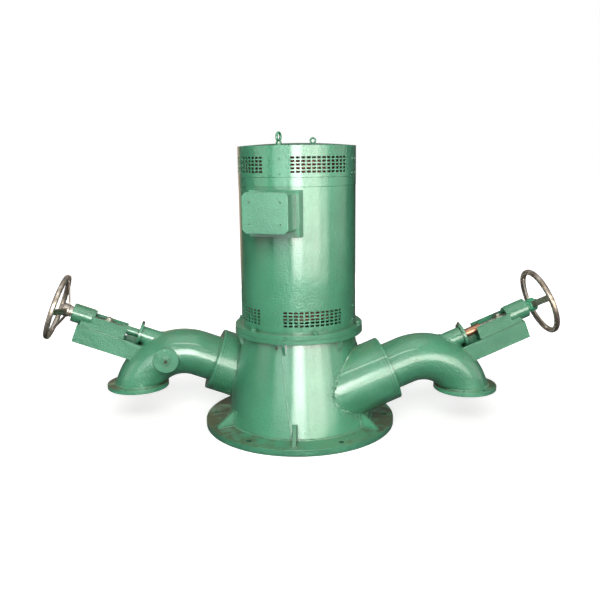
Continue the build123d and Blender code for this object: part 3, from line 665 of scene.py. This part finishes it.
class TurbinePaintLook(bpy.types.PropertyGroup):
    """Colours and surface of the green machine paint."""

    deep_green: colour_value("Deep green", "Darker clouds of the paint", (0.048, 0.262, 0.138))
    light_green: colour_value("Light green", "Lighter clouds of the paint", (0.095, 0.425, 0.24))
    # Painted shade: the colour of corners and of paints darkened all over.
    painted_shade_colour: colour_value("Painted shade", "Dirt that gathers in corners", (0.012, 0.055, 0.026))
    dust_colour: colour_value("Dust", "Dust on faces that look up", (0.17, 0.27, 0.15))
    # Pale edges: partly wear, partly painted highlight.
    wear_and_highlight_colour: colour_value("Worn edge and highlight", "Thin pale paint along edges", (0.3, 0.52, 0.36))
    stain_colour: colour_value("Stain", "Brown rust and oil stains", (0.12, 0.075, 0.035))
    # Dark brown for faces that look up, away from one place.
    brown_top_colour: colour_value("Brown tops", "Brown oil film on the flanges", (0.075, 0.07, 0.035))
    # Depth of the painted shade in corners.
    corner_shade: number("Painted shade", "Depth of corner dirt", 0.8)
    # Paleness of the edges' wear and painted highlight.
    edge_wear_and_highlight: number("Edge wear and highlight", "Paleness of edges", 0.5)
    gloss: number("Roughness", "Roughness where cleanest", 0.3)
    coat_roughness: number("Coat roughness", "Roughness of the glossy top coat", 0.09)
    relief: number("Relief", "Height of orange peel and plate waves", 0.0016, unit="LENGTH")


class TurbineMetalLook(bpy.types.PropertyGroup):
    """Colours of bare metal, windings and bores."""

    wheel_brown: colour_value("Wheel brown", "Brown skin of the handwheels", (0.27, 0.19, 0.13))
    wheel_grey: colour_value("Wheel grey", "Grey of handled iron", (0.56, 0.5, 0.43))
    # Bright metal for wear and for painted highlights on edges, grips and pockets.
    wheel_wear_and_highlight: colour_value("Wheel wear and highlight", "Bright rubbed metal", (0.95, 0.91, 0.85))
    # Oily dirt, and the painted reflection of dark ground on faces that look down.
    wheel_dark: colour_value("Wheel dirt and reflection", "Oily dirt on the handwheels", (0.05, 0.028, 0.018))
    rod_steel: colour_value("Rod", "Greasy steel of the needle rod", (0.4, 0.45, 0.36))
    rod_dark: colour_value("Rod dark", "Tarnish on the rod", (0.12, 0.13, 0.1))
    rod_bright: colour_value("Rod scratches", "Bright scratches along the rod", (0.8, 0.84, 0.74))
    bronze: colour_value("Bronze", "Bronze of the right gland bush", (0.66, 0.38, 0.25))
    bronze_dark: colour_value("Bronze dark", "Tarnished bronze", (0.3, 0.13, 0.075))
    steel: colour_value("Steel", "Machined steel", (0.42, 0.41, 0.39))
    winding_red: colour_value("Winding", "Varnished coil ends", (0.42, 0.075, 0.035))
    winding_light: colour_value("Winding laps", "Lighter laps of tape", (0.62, 0.2, 0.11))
    # Also the painted shade in the coil gaps and between the vent covers.
    winding_dark: colour_value("Winding dark", "Gaps between coils", (0.05, 0.012, 0.008))
    bore_brown: colour_value("Bore brown", "Rust in bolt holes", (0.11, 0.05, 0.025))
    bore_black: colour_value("Bore black", "Shade in bolt holes", (0.012, 0.01, 0.008))


class TurbineSizes(bpy.types.PropertyGroup):
    """Sizes of the fasteners and welds that the solids leave out."""

    foot_bolt_flats: number("Foot bolt flats", "Across flats of the foot bolts, in mm", 22.0, 8.0, 40.0)
    screw_r: number("Screw head", "Radius of the cover screws' heads, in mm", 5.5, 2.0, 12.0)
    weld: number("Weld", "Half width of a weld bead, in mm", 5.0, 2.0, 12.0)
    coil_ends: IntProperty(
        name="Coil ends", description="Coil ends round each winding", default=60, min=12,
    )


class TurbineStageLook(bpy.types.PropertyGroup):
    """Floor, lights and camera."""

    floor_colour: colour_value("Floor", "Plain pale floor", (0.86, 0.86, 0.86))
    light: number("Light", "Power that each lamp takes a share of", 105.0, high=5000.0, unit="POWER")
    sky: number("Surroundings", "Strength of what surfaces reflect", 0.12)
    lens: number("Focal length", "Camera lens on a 36 mm sensor", 42.19, 1.0, 500.0, "CAMERA")


def washer_form(radius, height):
    """Flat washer or collar with its upper edge broken."""
    edge = [(radius, SUNK), (radius, height - 0.5), (radius - 0.5, height)]
    return turned_form([(0, SUNK), *edge, (0, height)], 24)


def hexagon_form(flats, height):
    """Hexagon with both ends chamfered."""
    corner, face = flats / np.sqrt(3), flats * 0.48
    edge = [(face, SUNK), (corner, 0.8), (corner, height - 1.2), (face, height)]
    return turned_form([(0, SUNK), *edge, (0, height)], 24, flats / 2)


def screw_form(radius):
    """Round screw head with a dished recess in its middle."""
    head = ((1.0, SUNK), (1.0, 0.6), (0.86, 1.9), (0.52, 2.8), (0.36, 2.7), (0.3, 1.4))
    return turned_form([(0, SUNK), *((radius * share, h) for share, h in head), (0, 1.2)], 16)


def casing_share(height):
    """Share of the casing's height, from 0 at its bottom to 1 at its top."""
    return (height - BASE_TOP) / (CASING_TOP - BASE_TOP)


def casing_point(azimuth, height):
    """Points of the cone's skin."""
    return machine_point(casing_radius(height), azimuth, height)


def casing_radius(height):
    """Outer radius of the casing, a straight line from its bottom to its top."""
    return CASING_BOTTOM_R + (CASING_TOP_R - CASING_BOTTOM_R) * casing_share(height)


def casing_normal(azimuth):
    """Normal of the cone: outwards, and up by its fall."""
    fall = (CASING_BOTTOM_R - CASING_TOP_R) / (CASING_TOP - BASE_TOP)
    return unit(outward(azimuth) + fall * UPRIGHT)


def azimuth_of(points):
    """Azimuth of points, in degrees from -Y towards +X."""
    return np.degrees(np.arctan2(points[:, 0], -points[:, 1]))


def weld(path, up, size, seed, closed=True, flatness=0.8, ripple=0.25):
    """A weld bead along a path. The size is its half width, and flatness its height over that."""
    return rope_form(path, up, size, size * flatness, closed, ripple=ripple, seed=seed)


def circle_bead(radius, height, lift, size, seed):
    """Bead round the machine's axis: a full circle at a radius and height."""
    azimuth = np.arange(360.0)
    up = outward(azimuth) + lift * UPRIGHT
    return weld(machine_point(radius, azimuth, height), up, size, seed, ripple=0.16)


def seam_bead(first, second, size, seed):
    """Bead up the cone, its azimuth running evenly from the first to the second."""
    height = np.linspace(BASE_TOP + 4.0, CASING_TOP - 4.0, 120)
    azimuth = first + (second - first) * casing_share(height)
    up = casing_normal(azimuth)
    return weld(casing_point(azimuth, height), up, size, seed, False, 0.35, 0.3)


def seam_spatter(first, second, seed):
    """Weld spatter on the cone beside a seam: small domes, thinner away from it."""
    dice = np.random.default_rng(seed)
    height = dice.uniform(BASE_TOP + 10.0, CASING_TOP - 10.0, 90)
    azimuth = first + (second - first) * casing_share(height) + dice.normal(0.0, 1.7, 90)
    return copies(dome_form(1.7), casing_point(azimuth, height), casing_normal(azimuth))


def box_form(low, high):
    """A box between two corners, each given along, up and across an arm."""
    corners = np.array(np.meshgrid(*zip(low, high), indexing="ij")).reshape(3, 8)
    quads = ((2, 3, 1, 0), (5, 7, 6, 4), (1, 5, 4, 0), (6, 7, 3, 2), (4, 6, 2, 0), (3, 7, 5, 1))
    return arm_point(*corners), np.array(quads), np.empty((0, 3), int)


def dome_form(radius):
    """A low dome of a few faces."""
    return turned_form([(0, -0.5), (radius, -0.5), (radius * 0.8, radius * 0.4), (0, radius * 0.7)], 8)


def stub_crossing(turn):
    """Points where the stub's skin meets the cone, at angles round the stub, and the skin's normals.

    For each angle, the distance s along the stub is found by halving: the point lies outside
    once its radius passes the cone's at its height.
    """
    n, w, normal = tube_skin(STUB_R, turn)
    low = np.full_like(turn, 60.0)
    high = np.full_like(turn, LINE_STATIONS[0])
    for _ in range(40):
        middle = (low + high) / 2
        place = arm_point(middle, n, w)
        outside = np.hypot(place[:, 0], place[:, 1]) > casing_radius(place[:, 2])
        high = np.where(outside, middle, high)
        low = np.where(outside, low, middle)
    return arm_point(high, n, w), normal


def stub_bead(size, seed):
    """Low rough bead where the stub meets the cone."""
    path, around = stub_crossing(even_turn(360))
    up = around + casing_normal(azimuth_of(path))
    return weld(path, up, size, seed, True, 0.35, 0.8)


def stub_spatter(seed):
    """Weld spatter beside the stub's bead, some on the stub and some on the cone."""
    dice = np.random.default_rng(seed)
    path, around = stub_crossing(dice.uniform(0.0, 2 * np.pi, 260))
    away = np.abs(dice.normal(4.0, 12.0, (260, 1)))
    on_stub = copies(dome_form(2.6), path + away * OUT, around)
    path, around = stub_crossing(dice.uniform(0.0, 2 * np.pi, 360))
    away = np.abs(dice.normal(5.0, 17.0, (360, 1)))
    normal = casing_normal(azimuth_of(path))
    moved = path + away * unit(around - np.sum(around * normal, axis=-1, keepdims=True) * normal)
    moved = moved[(moved[:, 2] > BASE_TOP + 6.0) & (moved[:, 2] < CASING_TOP - 6.0)]
    azimuth = azimuth_of(moved)
    places = casing_point(azimuth, moved[:, 2])
    return on_stub, copies(dome_form(3.2), places, casing_normal(azimuth))


def bend_skin(n, w):
    """Outer crossing of a line along s with the bend.

    The bend is a torus about s = BEND_START, n = -BEND_R, and its outer skin at w lies
    BEND_R + sqrt(PIPE_R^2 - w^2) away from there.
    """
    reach = BEND_R + np.sqrt(PIPE_R ** 2 - w ** 2)
    return BEND_START + np.sqrt(reach ** 2 - (n + BEND_R) ** 2)


def stem_bead(size, seed):
    """Bead round the stem tube, where its skin leaves the bend."""
    n, w, around = tube_skin(STEM_R, even_turn(180))
    return weld(arm_point(bend_skin(n, w), n, w), around + OUT, size, seed)


def channel_bead(size, seed):
    """Bead where the channel sits on the bend: down one side, under it and up the other."""
    down = np.linspace(-56.0, CHANNEL_BOTTOM, 40)
    over = np.linspace(-CHANNEL_HALF, CHANNEL_HALF, 40)
    n = np.concatenate((down, np.full(40, CHANNEL_BOTTOM), down[::-1]))
    w = np.concatenate((np.full(40, over[0]), over, np.full(40, over[-1])))
    around = unit(w[:, None] * SIDEWAYS + (n[:, None] + 60.0) * UP)
    return weld(arm_point(bend_skin(n, w), n, w), around + OUT * 0.6, size, seed, False)


def pipe_bead(size, seed):
    """Bead round the straight pipe where it leaves the joint flange."""
    n, w, around = tube_skin(PIPE_R, even_turn(240))
    return weld(arm_point(JOINT_FACE, n, w), around + OUT, size, seed, ripple=0.2)


def inlet_bead(size, seed):
    """Bead round the mitred pipe end: its cylinder cut by the inlet flange's level top."""
    turn = even_turn(240)[:, None]
    around = np.cos(turn) * SIDEWAYS + np.sin(turn) * OUT
    skin = BEND_CENTRE + BEND_R * OUT + PIPE_R * around
    drop = (skin[:, 2:] - INLET_FACE) / UP[2]
    return weld(skin - drop * UP, around + UPRIGHT, size, seed)


def neck_bead(size, seed):
    """Bead round the cover's neck, where it leaves the bend's side."""
    turn = even_turn(180)
    around = np.stack((np.cos(turn), 0 * turn, np.sin(turn)), axis=-1)
    place = COVER_CENTRE + NECK_R * around
    reach = np.linalg.norm(place - BEND_CENTRE, axis=1) - BEND_R
    place = place + np.sqrt(PIPE_R ** 2 - reach ** 2)[:, None] * SIDEWAYS
    return weld(place, around + SIDEWAYS, size, seed)


def boss_beads(size, seed):
    """Beads along the top edges of the channel, beside the screw boss."""
    for w in (3.0 - CHANNEL_HALF, CHANNEL_HALF - 3.0):
        path = arm_point(np.linspace(*BOSS_SPAN, 30), CHANNEL_TOP, w)
        yield weld(path, np.broadcast_to(UP, path.shape), size, seed, False, 0.5, 0.35)
        seed += 1


def web_beads(azimuth, size, seed):
    """Beads on both sides of a web, down the cone and out along the base flange."""
    wall = casing_point(azimuth, np.linspace(WEB_TOP, BASE_TOP, 30))
    out = machine_point(np.linspace(CASING_BOTTOM_R, WEB_TOE, 30)[1:], azimuth, BASE_TOP)
    up = np.vstack((np.tile(casing_normal(azimuth), (30, 1)), np.tile(UPRIGHT, (29, 1))))
    beside = (size * 0.5 + 7.6) * outward(azimuth + 90.0)
    for shift in (-beside, beside):
        path = np.vstack((wall, out)) + shift
        yield rope_form(path, up, size * 0.7, size * 0.6, False, ripple=0.25, seed=seed)
        seed += 1


class TURBINE_OT_finishes(bpy.types.Operator):
    """Gives every solid its finish."""

    bl_idname = "turbine.finishes"
    bl_label = "Finishes"

    def execute(self, context):
        paint = context.scene.turbine_paint
        metal = context.scene.turbine_metal
        corner = tuple(machine_point(*SADDLE_CORNER) * MM)
        green_paint("machine_green", paint)
        # The arms and elbows are painted darker all over, as painted shade.
        green_paint("arm_green", paint, 1.5, 0.6, shade=0.08)
        green_paint("elbow_green", paint, 1.2, 0.6, shade=0.1, joined=True)
        green_paint("base_green", paint, 1.2, 0.7, browned=((0.02, -0.4, 0.03), 0.5))
        green_paint("right_inlet_green", paint, 1.2, 0.7, browned=((0.77, -0.27, 0.185), 0.2))
        green_paint("left_inlet_green", paint, 1.2, 0.7, browned=((-0.76, 0.02, 0.185), 0.2))
        green_paint("saddle_green", paint, 1.0, 0.5, [(corner, 0.024)])
        green_paint("weld_green", paint, 3.5, 1.2)
        green_paint("shaded_green", paint, 1.0, 0.2, shade=0.6)
        turned_metal("machined_steel", metal, metal.steel, metal.wheel_grey)
        turned_metal("bush_bronze", metal, metal.bronze, metal.bronze_dark)
        winding_varnish("winding_varnish", metal)
        bore_dark("bore_rust", metal)
        own = {
            "base_flange": "base_green", "terminal_saddle": "saddle_green",
            "lower_winding": "winding_varnish", "upper_winding": "winding_varnish",
            "main_shaft": "machined_steel", "runner": "machined_steel",
            "right_gland_bush": "bush_bronze", "left_gland_bush": "arm_green",
        }
        for side in ARMS:
            wheel_metal(side + "_wheel_iron", side, metal, paint, side == "right")
            rod_metal(side + "_rod_steel", side, metal)
            own[side + "_nozzle"] = "machined_steel"
            own[side + "_needle_rod"] = side + "_rod_steel"
            own[side + "_handwheel"] = side + "_wheel_iron"
            own[side + "_inlet_flange"] = side + "_inlet_green"
            for part in ("neck_pipe", "upper_elbow", "lower_elbow"):
                own[side + "_" + part] = "elbow_green"
            for part in ("nozzle_stub", "stem_tube", "gland", "trough", "bracket", "boss"):
                own[side + "_" + part] = "arm_green"
        for name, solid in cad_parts.items():
            solid.data.materials.clear()
            solid.data.materials.append(bpy.data.materials[own.get(name, "machine_green")])
        return {"FINISHED"}


class TURBINE_OT_bolts(bpy.types.Operator):
    """Adds the foot bolts, and the small fittings of joint flanges, inspection covers and glands."""

    bl_idname = "turbine.bolts"
    bl_label = "Bolts"

    def execute(self, context):
        flats = context.scene.turbine_sizes.foot_bolt_flats
        places = machine_point(FOOT_BOLT_R, FOOT_BOLT_AZIMUTH + SIXTHS, FOOT_FACE)
        heads = (
            copies(washer_form(flats * 0.66, 2.4), places, UPRIGHT),
            copies(hexagon_form(flats, 11.0), places + 2.2 * UPRIGHT, UPRIGHT),
        )
        piece("foot_bolts", heads, "machine_green")
        for side in ARMS:
            self.joint_fittings(side)
            self.cover_fittings(side)
            self.gland_fittings(side)
        return {"FINISHED"}

    def joint_fittings(self, side):
        """Two dark joint lines round the stub's end, and one small bright screw near the rim."""
        n, w, up = tube_skin(STUB_R - 0.1, even_turn(180))
        lines = [
            rope_form(arm_point(s, n, w), up, half, 0.5, True, step=6.0)
            for s, half in zip(LINE_STATIONS, (1.1, 0.8))
        ]
        piece("joint_lines", lines, "shaded_green", side)
        angle = JOINT_SCREW_ANGLES[side]
        place = arm_point(JOINT_FACE, JOINT_SCREW_R * cos(angle), JOINT_SCREW_R * sin(angle))
        screw = copies(screw_form(5.0), place, OUT)
        piece("joint_screw", [screw], "machined_steel", side)

    def gland_fittings(self, side):
        """Low grease plug on the gland flange's rim, and a thin dark web of painted shade under the
        bush.
        """
        profile = [(0, -2.0), (6.5, -2.0), (6.5, 7.0), (5.0, 9.0), (0, 9.5)]
        place = arm_point(GLAND_START + GLAND_T / 2, GLAND_R, 0.0)
        plug = copies(turned_form(profile, 16), place, UP)
        piece("grease_cup", [plug], "bore_rust", side)
        piece("bush_web", [box_form(*BUSH_WEB)], "shaded_green", side)

    def cover_fittings(self, side):
        """Washer and bolt end at the cover's nut, and the small bolt near the cover's rim."""
        face = COVER_CENTRE + COVER_FACE * SIDEWAYS
        rim = face + COVER_BOLT
        ring = [(0, 10), (17.0, 10), (17.0, 16.5), (15.0, 19.0), (12.0, 19.0), (10.5, 16.6), (0, 16.4)]
        forms = [
            copies(washer_form(23.0, 2.5), face, SIDEWAYS),
            copies(turned_form(ring, 24), face, SIDEWAYS),
            copies(hexagon_form(9.0, 4.5), rim, SIDEWAYS),
        ]
        piece("cover_bolts", forms, "machine_green", side)
        end = [(0, 16.0), (7.0, 16.0), (7.0, 21.5), (6.0, 22.5), (0, 22.5)]
        stud = copies(turned_form(end, 20), face, SIDEWAYS)
        piece("cover_stud", [stud], "bore_rust", side)


class TURBINE_OT_screws(bpy.types.Operator):
    """Adds the round-headed screws of the vent covers and the terminal lid, and the plug's rim."""

    bl_idname = "turbine.screws"
    bl_label = "Screws"

    def execute(self, context):
        radius = context.scene.turbine_sizes.screw_r
        azimuth, height = np.array(VENT_SCREWS).T[..., None]
        azimuth = (azimuth + 90.0 * np.arange(4)).ravel()
        places = machine_point(BAND_R, azimuth, np.repeat(height, 4))
        vents = copies(screw_form(radius), places, outward(azimuth))
        piece("vent_screws", [vents], "machine_green")
        face = outward(LID_AZIMUTH)
        across = outward(LID_AZIMUTH + 90.0)
        spots = np.array([(w, z) for w in (-69.0, 69.0) for z in (984.0, 1074.0)])
        places = LID_FACE * face + spots[:, :1] * across + spots[:, 1:] * UPRIGHT
        lid = copies(screw_form(radius * 0.75), places, face)
        # The lid screws take the shaded paint: painted shade on their heads.
        piece("lid_screws", [lid], "shaded_green")
        place, axis = casing_point(*PLUG), casing_normal(PLUG[0])
        ring = [(0, -1.0), (10.0, -1.0), (9.0, 2.4), (7.2, 3.2), (6.2, 2.6), (5.6, 0.5), (0, 0.4)]
        rim = copies(turned_form(ring, 24), place, axis)
        piece("casing_plug_rim", [rim], "machine_green")
        # Painted shade: a dark disc inside the rim stands for the plug's open hole.
        disc = [(0, 0.2), (5.6, 0.2), (5.2, 0.9), (0, 0.8)]
        hole = copies(turned_form(disc, 20), place, axis)
        piece("casing_plug_hole_shade", [hole], "bore_rust")
        return {"FINISHED"}


class TURBINE_OT_welds(bpy.types.Operator):
    """Lays the weld beads of the casing, webs, stubs and pipe work."""

    bl_idname = "turbine.welds"
    bl_label = "Welds"

    def execute(self, context):
        size = context.scene.turbine_sizes.weld
        low, high = SEAM_AZIMUTHS
        casing = [
            circle_bead(CASING_BOTTOM_R + 1.0, BASE_TOP + 1.0, 1.0, size, 11),
            circle_bead(CASING_TOP_R + 1.0, CASING_TOP - 1.0, -1.0, size * 0.8, 13),
            seam_bead(low, high, size * 0.5, 15),
            seam_bead(low + 180.0, high + 180.0, size * 0.5, 17),
            seam_spatter(low, high, 61),
            seam_spatter(low + 180.0, high + 180.0, 63),
        ]
        piece("casing_welds", casing, "weld_green")
        webs = []
        for index, azimuth in enumerate(WEB_AZIMUTH + SIXTHS):
            webs += web_beads(azimuth, size, 20 + 2 * index)
        piece("web_welds", webs, "weld_green")
        for side, seed in (("right", 40), ("left", 60)):
            forms = [
                stub_bead(size * 1.5, seed),
                *stub_spatter(seed + 1),
                pipe_bead(size, seed + 2),
                inlet_bead(size, seed + 4),
                stem_bead(size * 0.9, seed + 6),
                neck_bead(size * 0.9, seed + 8),
                channel_bead(size * 0.9, seed + 10),
                *boss_beads(size * 0.8, seed + 12),
            ]
            piece("arm_welds", forms, "weld_green", side)
        return {"FINISHED"}


class TURBINE_OT_coil_ends(bpy.types.Operator):
    """Adds the leaning coil ends, their ties and the air guide, seen through the vent holes."""

    bl_idname = "turbine.coil_ends"
    bl_label = "Coil ends"

    def execute(self, context):
        count = context.scene.turbine_sizes.coil_ends
        share = np.linspace(0.0, 1.0, 14)
        radius = COIL_R + 3.0 * np.sin(np.pi * share)
        around = np.arange(0.0, 360.0, 2.0)
        for name, low, high, seed in COILS:
            forms = []
            height = low + share * (high - low)
            for start in 360.0 * np.arange(count) / count:
                azimuth = start + COIL_LEAN * share
                path = machine_point(radius, azimuth, height)
                forms.append(rope_form(path, outward(azimuth), 8.0, 4.0, False, step=9.0))
            for tie in np.linspace(low + 14.0, high - 14.0, 3):
                path = machine_point(TIE_R, around, tie)
                forms.append(rope_form(path, outward(around), 2.2, 1.8, True, 9.0, 0.2, seed))
            piece(name + "_coil_ends", forms, "winding_varnish")
        around = np.arange(0.0, 360.0, 3.0)
        path = machine_point(GUIDE_R, around, GUIDE_HEIGHT)
        guide = rope_form(path, outward(around), 12.0, 16.0, True, step=12.0)
        piece("air_guide", [guide], "bore_rust")
        return {"FINISHED"}


class TURBINE_OT_bores(bpy.types.Operator):
    """Lines the foundation bolt holes with dark green bores: painted shade inside them."""

    bl_idname = "turbine.bores"
    bl_label = "Bores"

    def execute(self, context):
        turn = even_turn(32)
        around = BASE_HOLE_R * np.stack((np.cos(turn), np.sin(turn), 0 * turn), axis=-1)
        up = np.tile(UPRIGHT, (32, 1))
        forms = [
            rope_form(place + around, up, 0.35, 14.4, True, step=3.0)
            for place in machine_point(BASE_HOLE_CIRCLE, BASE_HOLE_AZIMUTH + SIXTHS, BASE_TOP / 2)
        ]
        piece("base_hole_bores", forms, "shaded_green")
        return {"FINISHED"}


def soften(lamp, edge):
    """Lets a lamp's light fall off to nothing over a share of its width and height at each edge."""
    lamp.use_nodes = True
    tree = lamp.node_tree
    place = node(tree, "ShaderNodeNewGeometry", {}).outputs["Parametric"]
    across = node(tree, "ShaderNodeSeparateXYZ", {0: place}).outputs
    strength = 1.0
    for way in "XY":
        near = maths(tree, "MINIMUM", across[way], rest_of(tree, across[way]))
        strength = times(tree, remap(tree, near, 0.0, edge), strength)
    fill(tree, tree.nodes["Emission"], {"Strength": strength})


def place_object(name, data, axes, place):
    """Adds an object at a place, its own X, Y and Z along three axes."""
    made = bpy.data.objects.new(name, data)
    matrix = Matrix(np.stack(axes, axis=1).tolist()).to_4x4()
    matrix.translation = place
    made.matrix_world = matrix
    bpy.context.scene.collection.objects.link(made)
    return made


def area_light(name, place, target, size, power, colour, role):
    """A rectangular lamp that looks at a target and shades surfaces, mirrors in them, or does both."""
    lamp = bpy.data.lights.new(name, "AREA")
    lamp.shape = "RECTANGLE"
    lamp.size, lamp.size_y = size
    lamp.energy = power
    lamp.color = colour
    away = unit(np.array(place) - np.array(target))
    side = unit(np.cross(UPRIGHT, away))
    made = place_object(name, lamp, (side, np.cross(away, side), away), place)
    made.visible_camera = False
    made.visible_diffuse = role != "mirror"
    made.visible_glossy = role != "shade"
    if role == "mirror":
        soften(lamp, 0.3)


CAMERA_PLACE = (-0.39595, -3.23003, 1.25208)
# Heading from +Y towards +X, pitch down and roll
CAMERA_TURNS = (radians(7.115), radians(11.477), radians(-0.682))
# Name, place, target, size in metres, share of the light, colour and role of each lamp
LIGHTS = (
    ("key_light", (-0.6, -3.8, 2.7), (0.0, 0.0, 0.7), (3.6, 2.4), 1.8, (1.0, 1.0, 0.97), "shade"),
    ("back_fill", (0.8, 4.0, 1.6), (0.0, 0.0, 0.6), (3.6, 2.4), 0.5, (1.0, 1.0, 0.97), "shade"),
    ("window_mirror", (-0.6, -4.4, 1.1), (-0.1, 0.0, 0.8), (2.1, 3.0), 3.0, (1.0, 0.99, 0.95),
     "mirror"),
    ("pale_mirror", (1.3, -4.2, 0.9), (0.0, 0.0, 0.7), (3.4, 3.0), 2.3, (1.0, 0.9, 0.84), "mirror"),
    ("side_mirror", (2.7, -3.2, 0.9), (0.0, 0.0, 0.7), (2.6, 2.6), 1.0, (1.0, 0.95, 0.86), "mirror"),
    ("far_side_mirror", (4.0, -0.9, 1.0), (0.0, 0.0, 0.7), (4.2, 2.4), 0.4, (1.0, 0.95, 0.86),
     "mirror"),
    ("blue_mirror", (-2.6, -3.4, 1.2), (0.0, 0.0, 0.7), (2.8, 2.8), 0.8, (0.9, 1.0, 0.98), "mirror"),
    ("left_mirror", (-4.0, -0.9, 1.2), (0.0, 0.0, 0.7), (3.0, 2.4), 0.32, (1.0, 0.94, 0.84), "mirror"),
    ("warm_wall", (-1.25, 3.7, 1.0), (0.0, 0.0, 0.7), (2.4, 2.4), 0.12, (1.0, 0.7, 0.5), "mirror"),
    ("ceiling_strip", (-0.3, -2.3, 3.6), (0.0, 0.0, 0.6), (3.0, 0.6), 0.4, (1.0, 0.98, 0.92), "mirror"),
    ("top_light", (0.0, -0.4, 3.8), (0.0, 0.0, 0.0), (3.4, 2.6), 0.3, (0.98, 1.0, 1.0), "both"),
)


class TURBINE_OT_stage(bpy.types.Operator):
    """Sets the pale floor, the lights, the surroundings and the camera."""

    bl_idname = "turbine.stage"
    bl_label = "Stage"

    def execute(self, context):
        look = context.scene.turbine_stage
        self.floor(look)
        for name, place, target, size, share, colour, role in LIGHTS:
            area_light(name, place, target, size, look.light * share, colour, role)
        self.surroundings(context, look)
        self.camera(context, look)
        context.scene.view_settings.view_transform = "Standard"
        return {"FINISHED"}

    def floor(self, look):
        """A round floor, a disc about the machine, that fades into the white far from it."""
        profile = [(0, -0.2), (40.0, -0.2), (40.0, -0.0001), (0, -0.0001)]
        points, quads, triangles = turned_form(profile, 96)
        mesh = bpy.data.meshes.new("floor")
        mesh.from_pydata(points.tolist(), [], quads.tolist() + triangles.tolist())
        tree, shader, place = new_material("pale_floor")
        seen = node(tree, "ShaderNodeLightPath", {}).outputs["Is Camera Ray"]
        shade = remap(tree, noise(tree, place, 1.2, 4.0), 0.3, 0.7, 0.97, 1.0)
        shade = times(tree, shade, remap(tree, seen, 0.0, 1.0, 0.12, 1.0))
        values = {0: look.floor_colour[:3], "Scale": shade}
        tone = node(tree, "ShaderNodeVectorMath", values, operation="SCALE").outputs[0]
        away = vector_maths(tree, "LENGTH", place)
        glow = times(tree, remap(tree, away, 1.0, 3.2, 0.5, 1.0), seen)
        white = node(tree, "ShaderNodeCombineXYZ", {0: glow, 1: glow, 2: glow}).outputs[0]
        fill(tree, shader, {
            "Base Color": tone, "Roughness": 0.8, "Emission Color": white, "Emission Strength": 1.0,
        })
        mesh.materials.append(bpy.data.materials["pale_floor"])
        made = bpy.data.objects.new("floor", mesh)
        bpy.context.scene.collection.objects.link(made)

    def surroundings(self, context, look):
        """White to the camera, dimmer and lit from above in what the surfaces reflect."""
        world = bpy.data.worlds.new("plain_studio")
        world.use_nodes = True
        tree = world.node_tree
        tree.nodes.clear()
        height = upward(tree, node(tree, "ShaderNodeTexCoord", {}).outputs["Generated"])
        strength = remap(tree, height, -0.1, 0.9, look.sky * 0.6, look.sky * 1.5)
        white = {"Color": (1.0, 1.0, 1.0, 1.0)}
        dim = node(tree, "ShaderNodeBackground", {**white, "Strength": strength}).outputs[0]
        full = node(tree, "ShaderNodeBackground", {**white, "Strength": 1.0}).outputs[0]
        seen = node(tree, "ShaderNodeLightPath", {}).outputs["Is Camera Ray"]
        mixed = node(tree, "ShaderNodeMixShader", {0: seen, 1: dim, 2: full}).outputs[0]
        node(tree, "ShaderNodeOutputWorld", {0: mixed})
        context.scene.world = world

    def camera(self, context, look):
        """The camera at the photograph's place: its heading, pitch and roll set its three axes."""
        heading, pitch, roll = CAMERA_TURNS
        forward = np.array((sin(heading) * cos(pitch), cos(heading) * cos(pitch), -sin(pitch)))
        level = np.array((cos(heading), -sin(heading), 0.0))
        above = np.cross(level, forward)
        right = level * cos(roll) + above * sin(roll)
        up = above * cos(roll) - level * sin(roll)
        data = bpy.data.cameras.new("camera")
        data.sensor_fit = "HORIZONTAL"
        data.sensor_width = 36.0
        data.lens = look.lens
        data.clip_end = 200.0
        context.scene.camera = place_object("camera", data, (right, up, -forward), CAMERA_PLACE)


class TURBINE_PT_panel(bpy.types.Panel):
    """Lists the steps, the colours and the sizes."""

    bl_idname = "TURBINE_PT_panel"
    bl_label = "Turbine set"
    bl_space_type = "VIEW_3D"
    bl_region_type = "UI"
    bl_category = "Turbine"

    def draw(self, context):
        for step in STEPS:
            self.layout.operator(step.bl_idname)
        for key, group in SETTINGS.items():
            box = self.layout.box()
            for name in group.__annotations__:
                box.prop(getattr(context.scene, key), name)


SETTINGS = {
    "turbine_paint": TurbinePaintLook,
    "turbine_metal": TurbineMetalLook,
    "turbine_sizes": TurbineSizes,
    "turbine_stage": TurbineStageLook,
}
STEPS = (
    TURBINE_OT_finishes,
    TURBINE_OT_bolts,
    TURBINE_OT_screws,
    TURBINE_OT_welds,
    TURBINE_OT_coil_ends,
    TURBINE_OT_bores,
    TURBINE_OT_stage,
)


def register():
    """Registers the settings, the steps and the panel."""
    for group in SETTINGS.values():
        bpy.utils.register_class(group)
    for step in STEPS:
        bpy.utils.register_class(step)
    bpy.utils.register_class(TURBINE_PT_panel)
    for key, group in SETTINGS.items():
        setattr(bpy.types.Scene, key, PointerProperty(type=group))


def unregister():
    """Takes back what register added."""
    for key in SETTINGS:
        delattr(bpy.types.Scene, key)
    bpy.utils.unregister_class(TURBINE_PT_panel)
    for step in reversed(STEPS):
        bpy.utils.unregister_class(step)
    for group in SETTINGS.values():
        bpy.utils.unregister_class(group)


def main():
    """Builds the whole scene over the frame."""
    register()
    for step in STEPS:
        getattr(bpy.ops.turbine, step.bl_idname.split(".")[1])()


if __name__ == "__main__":
    main()
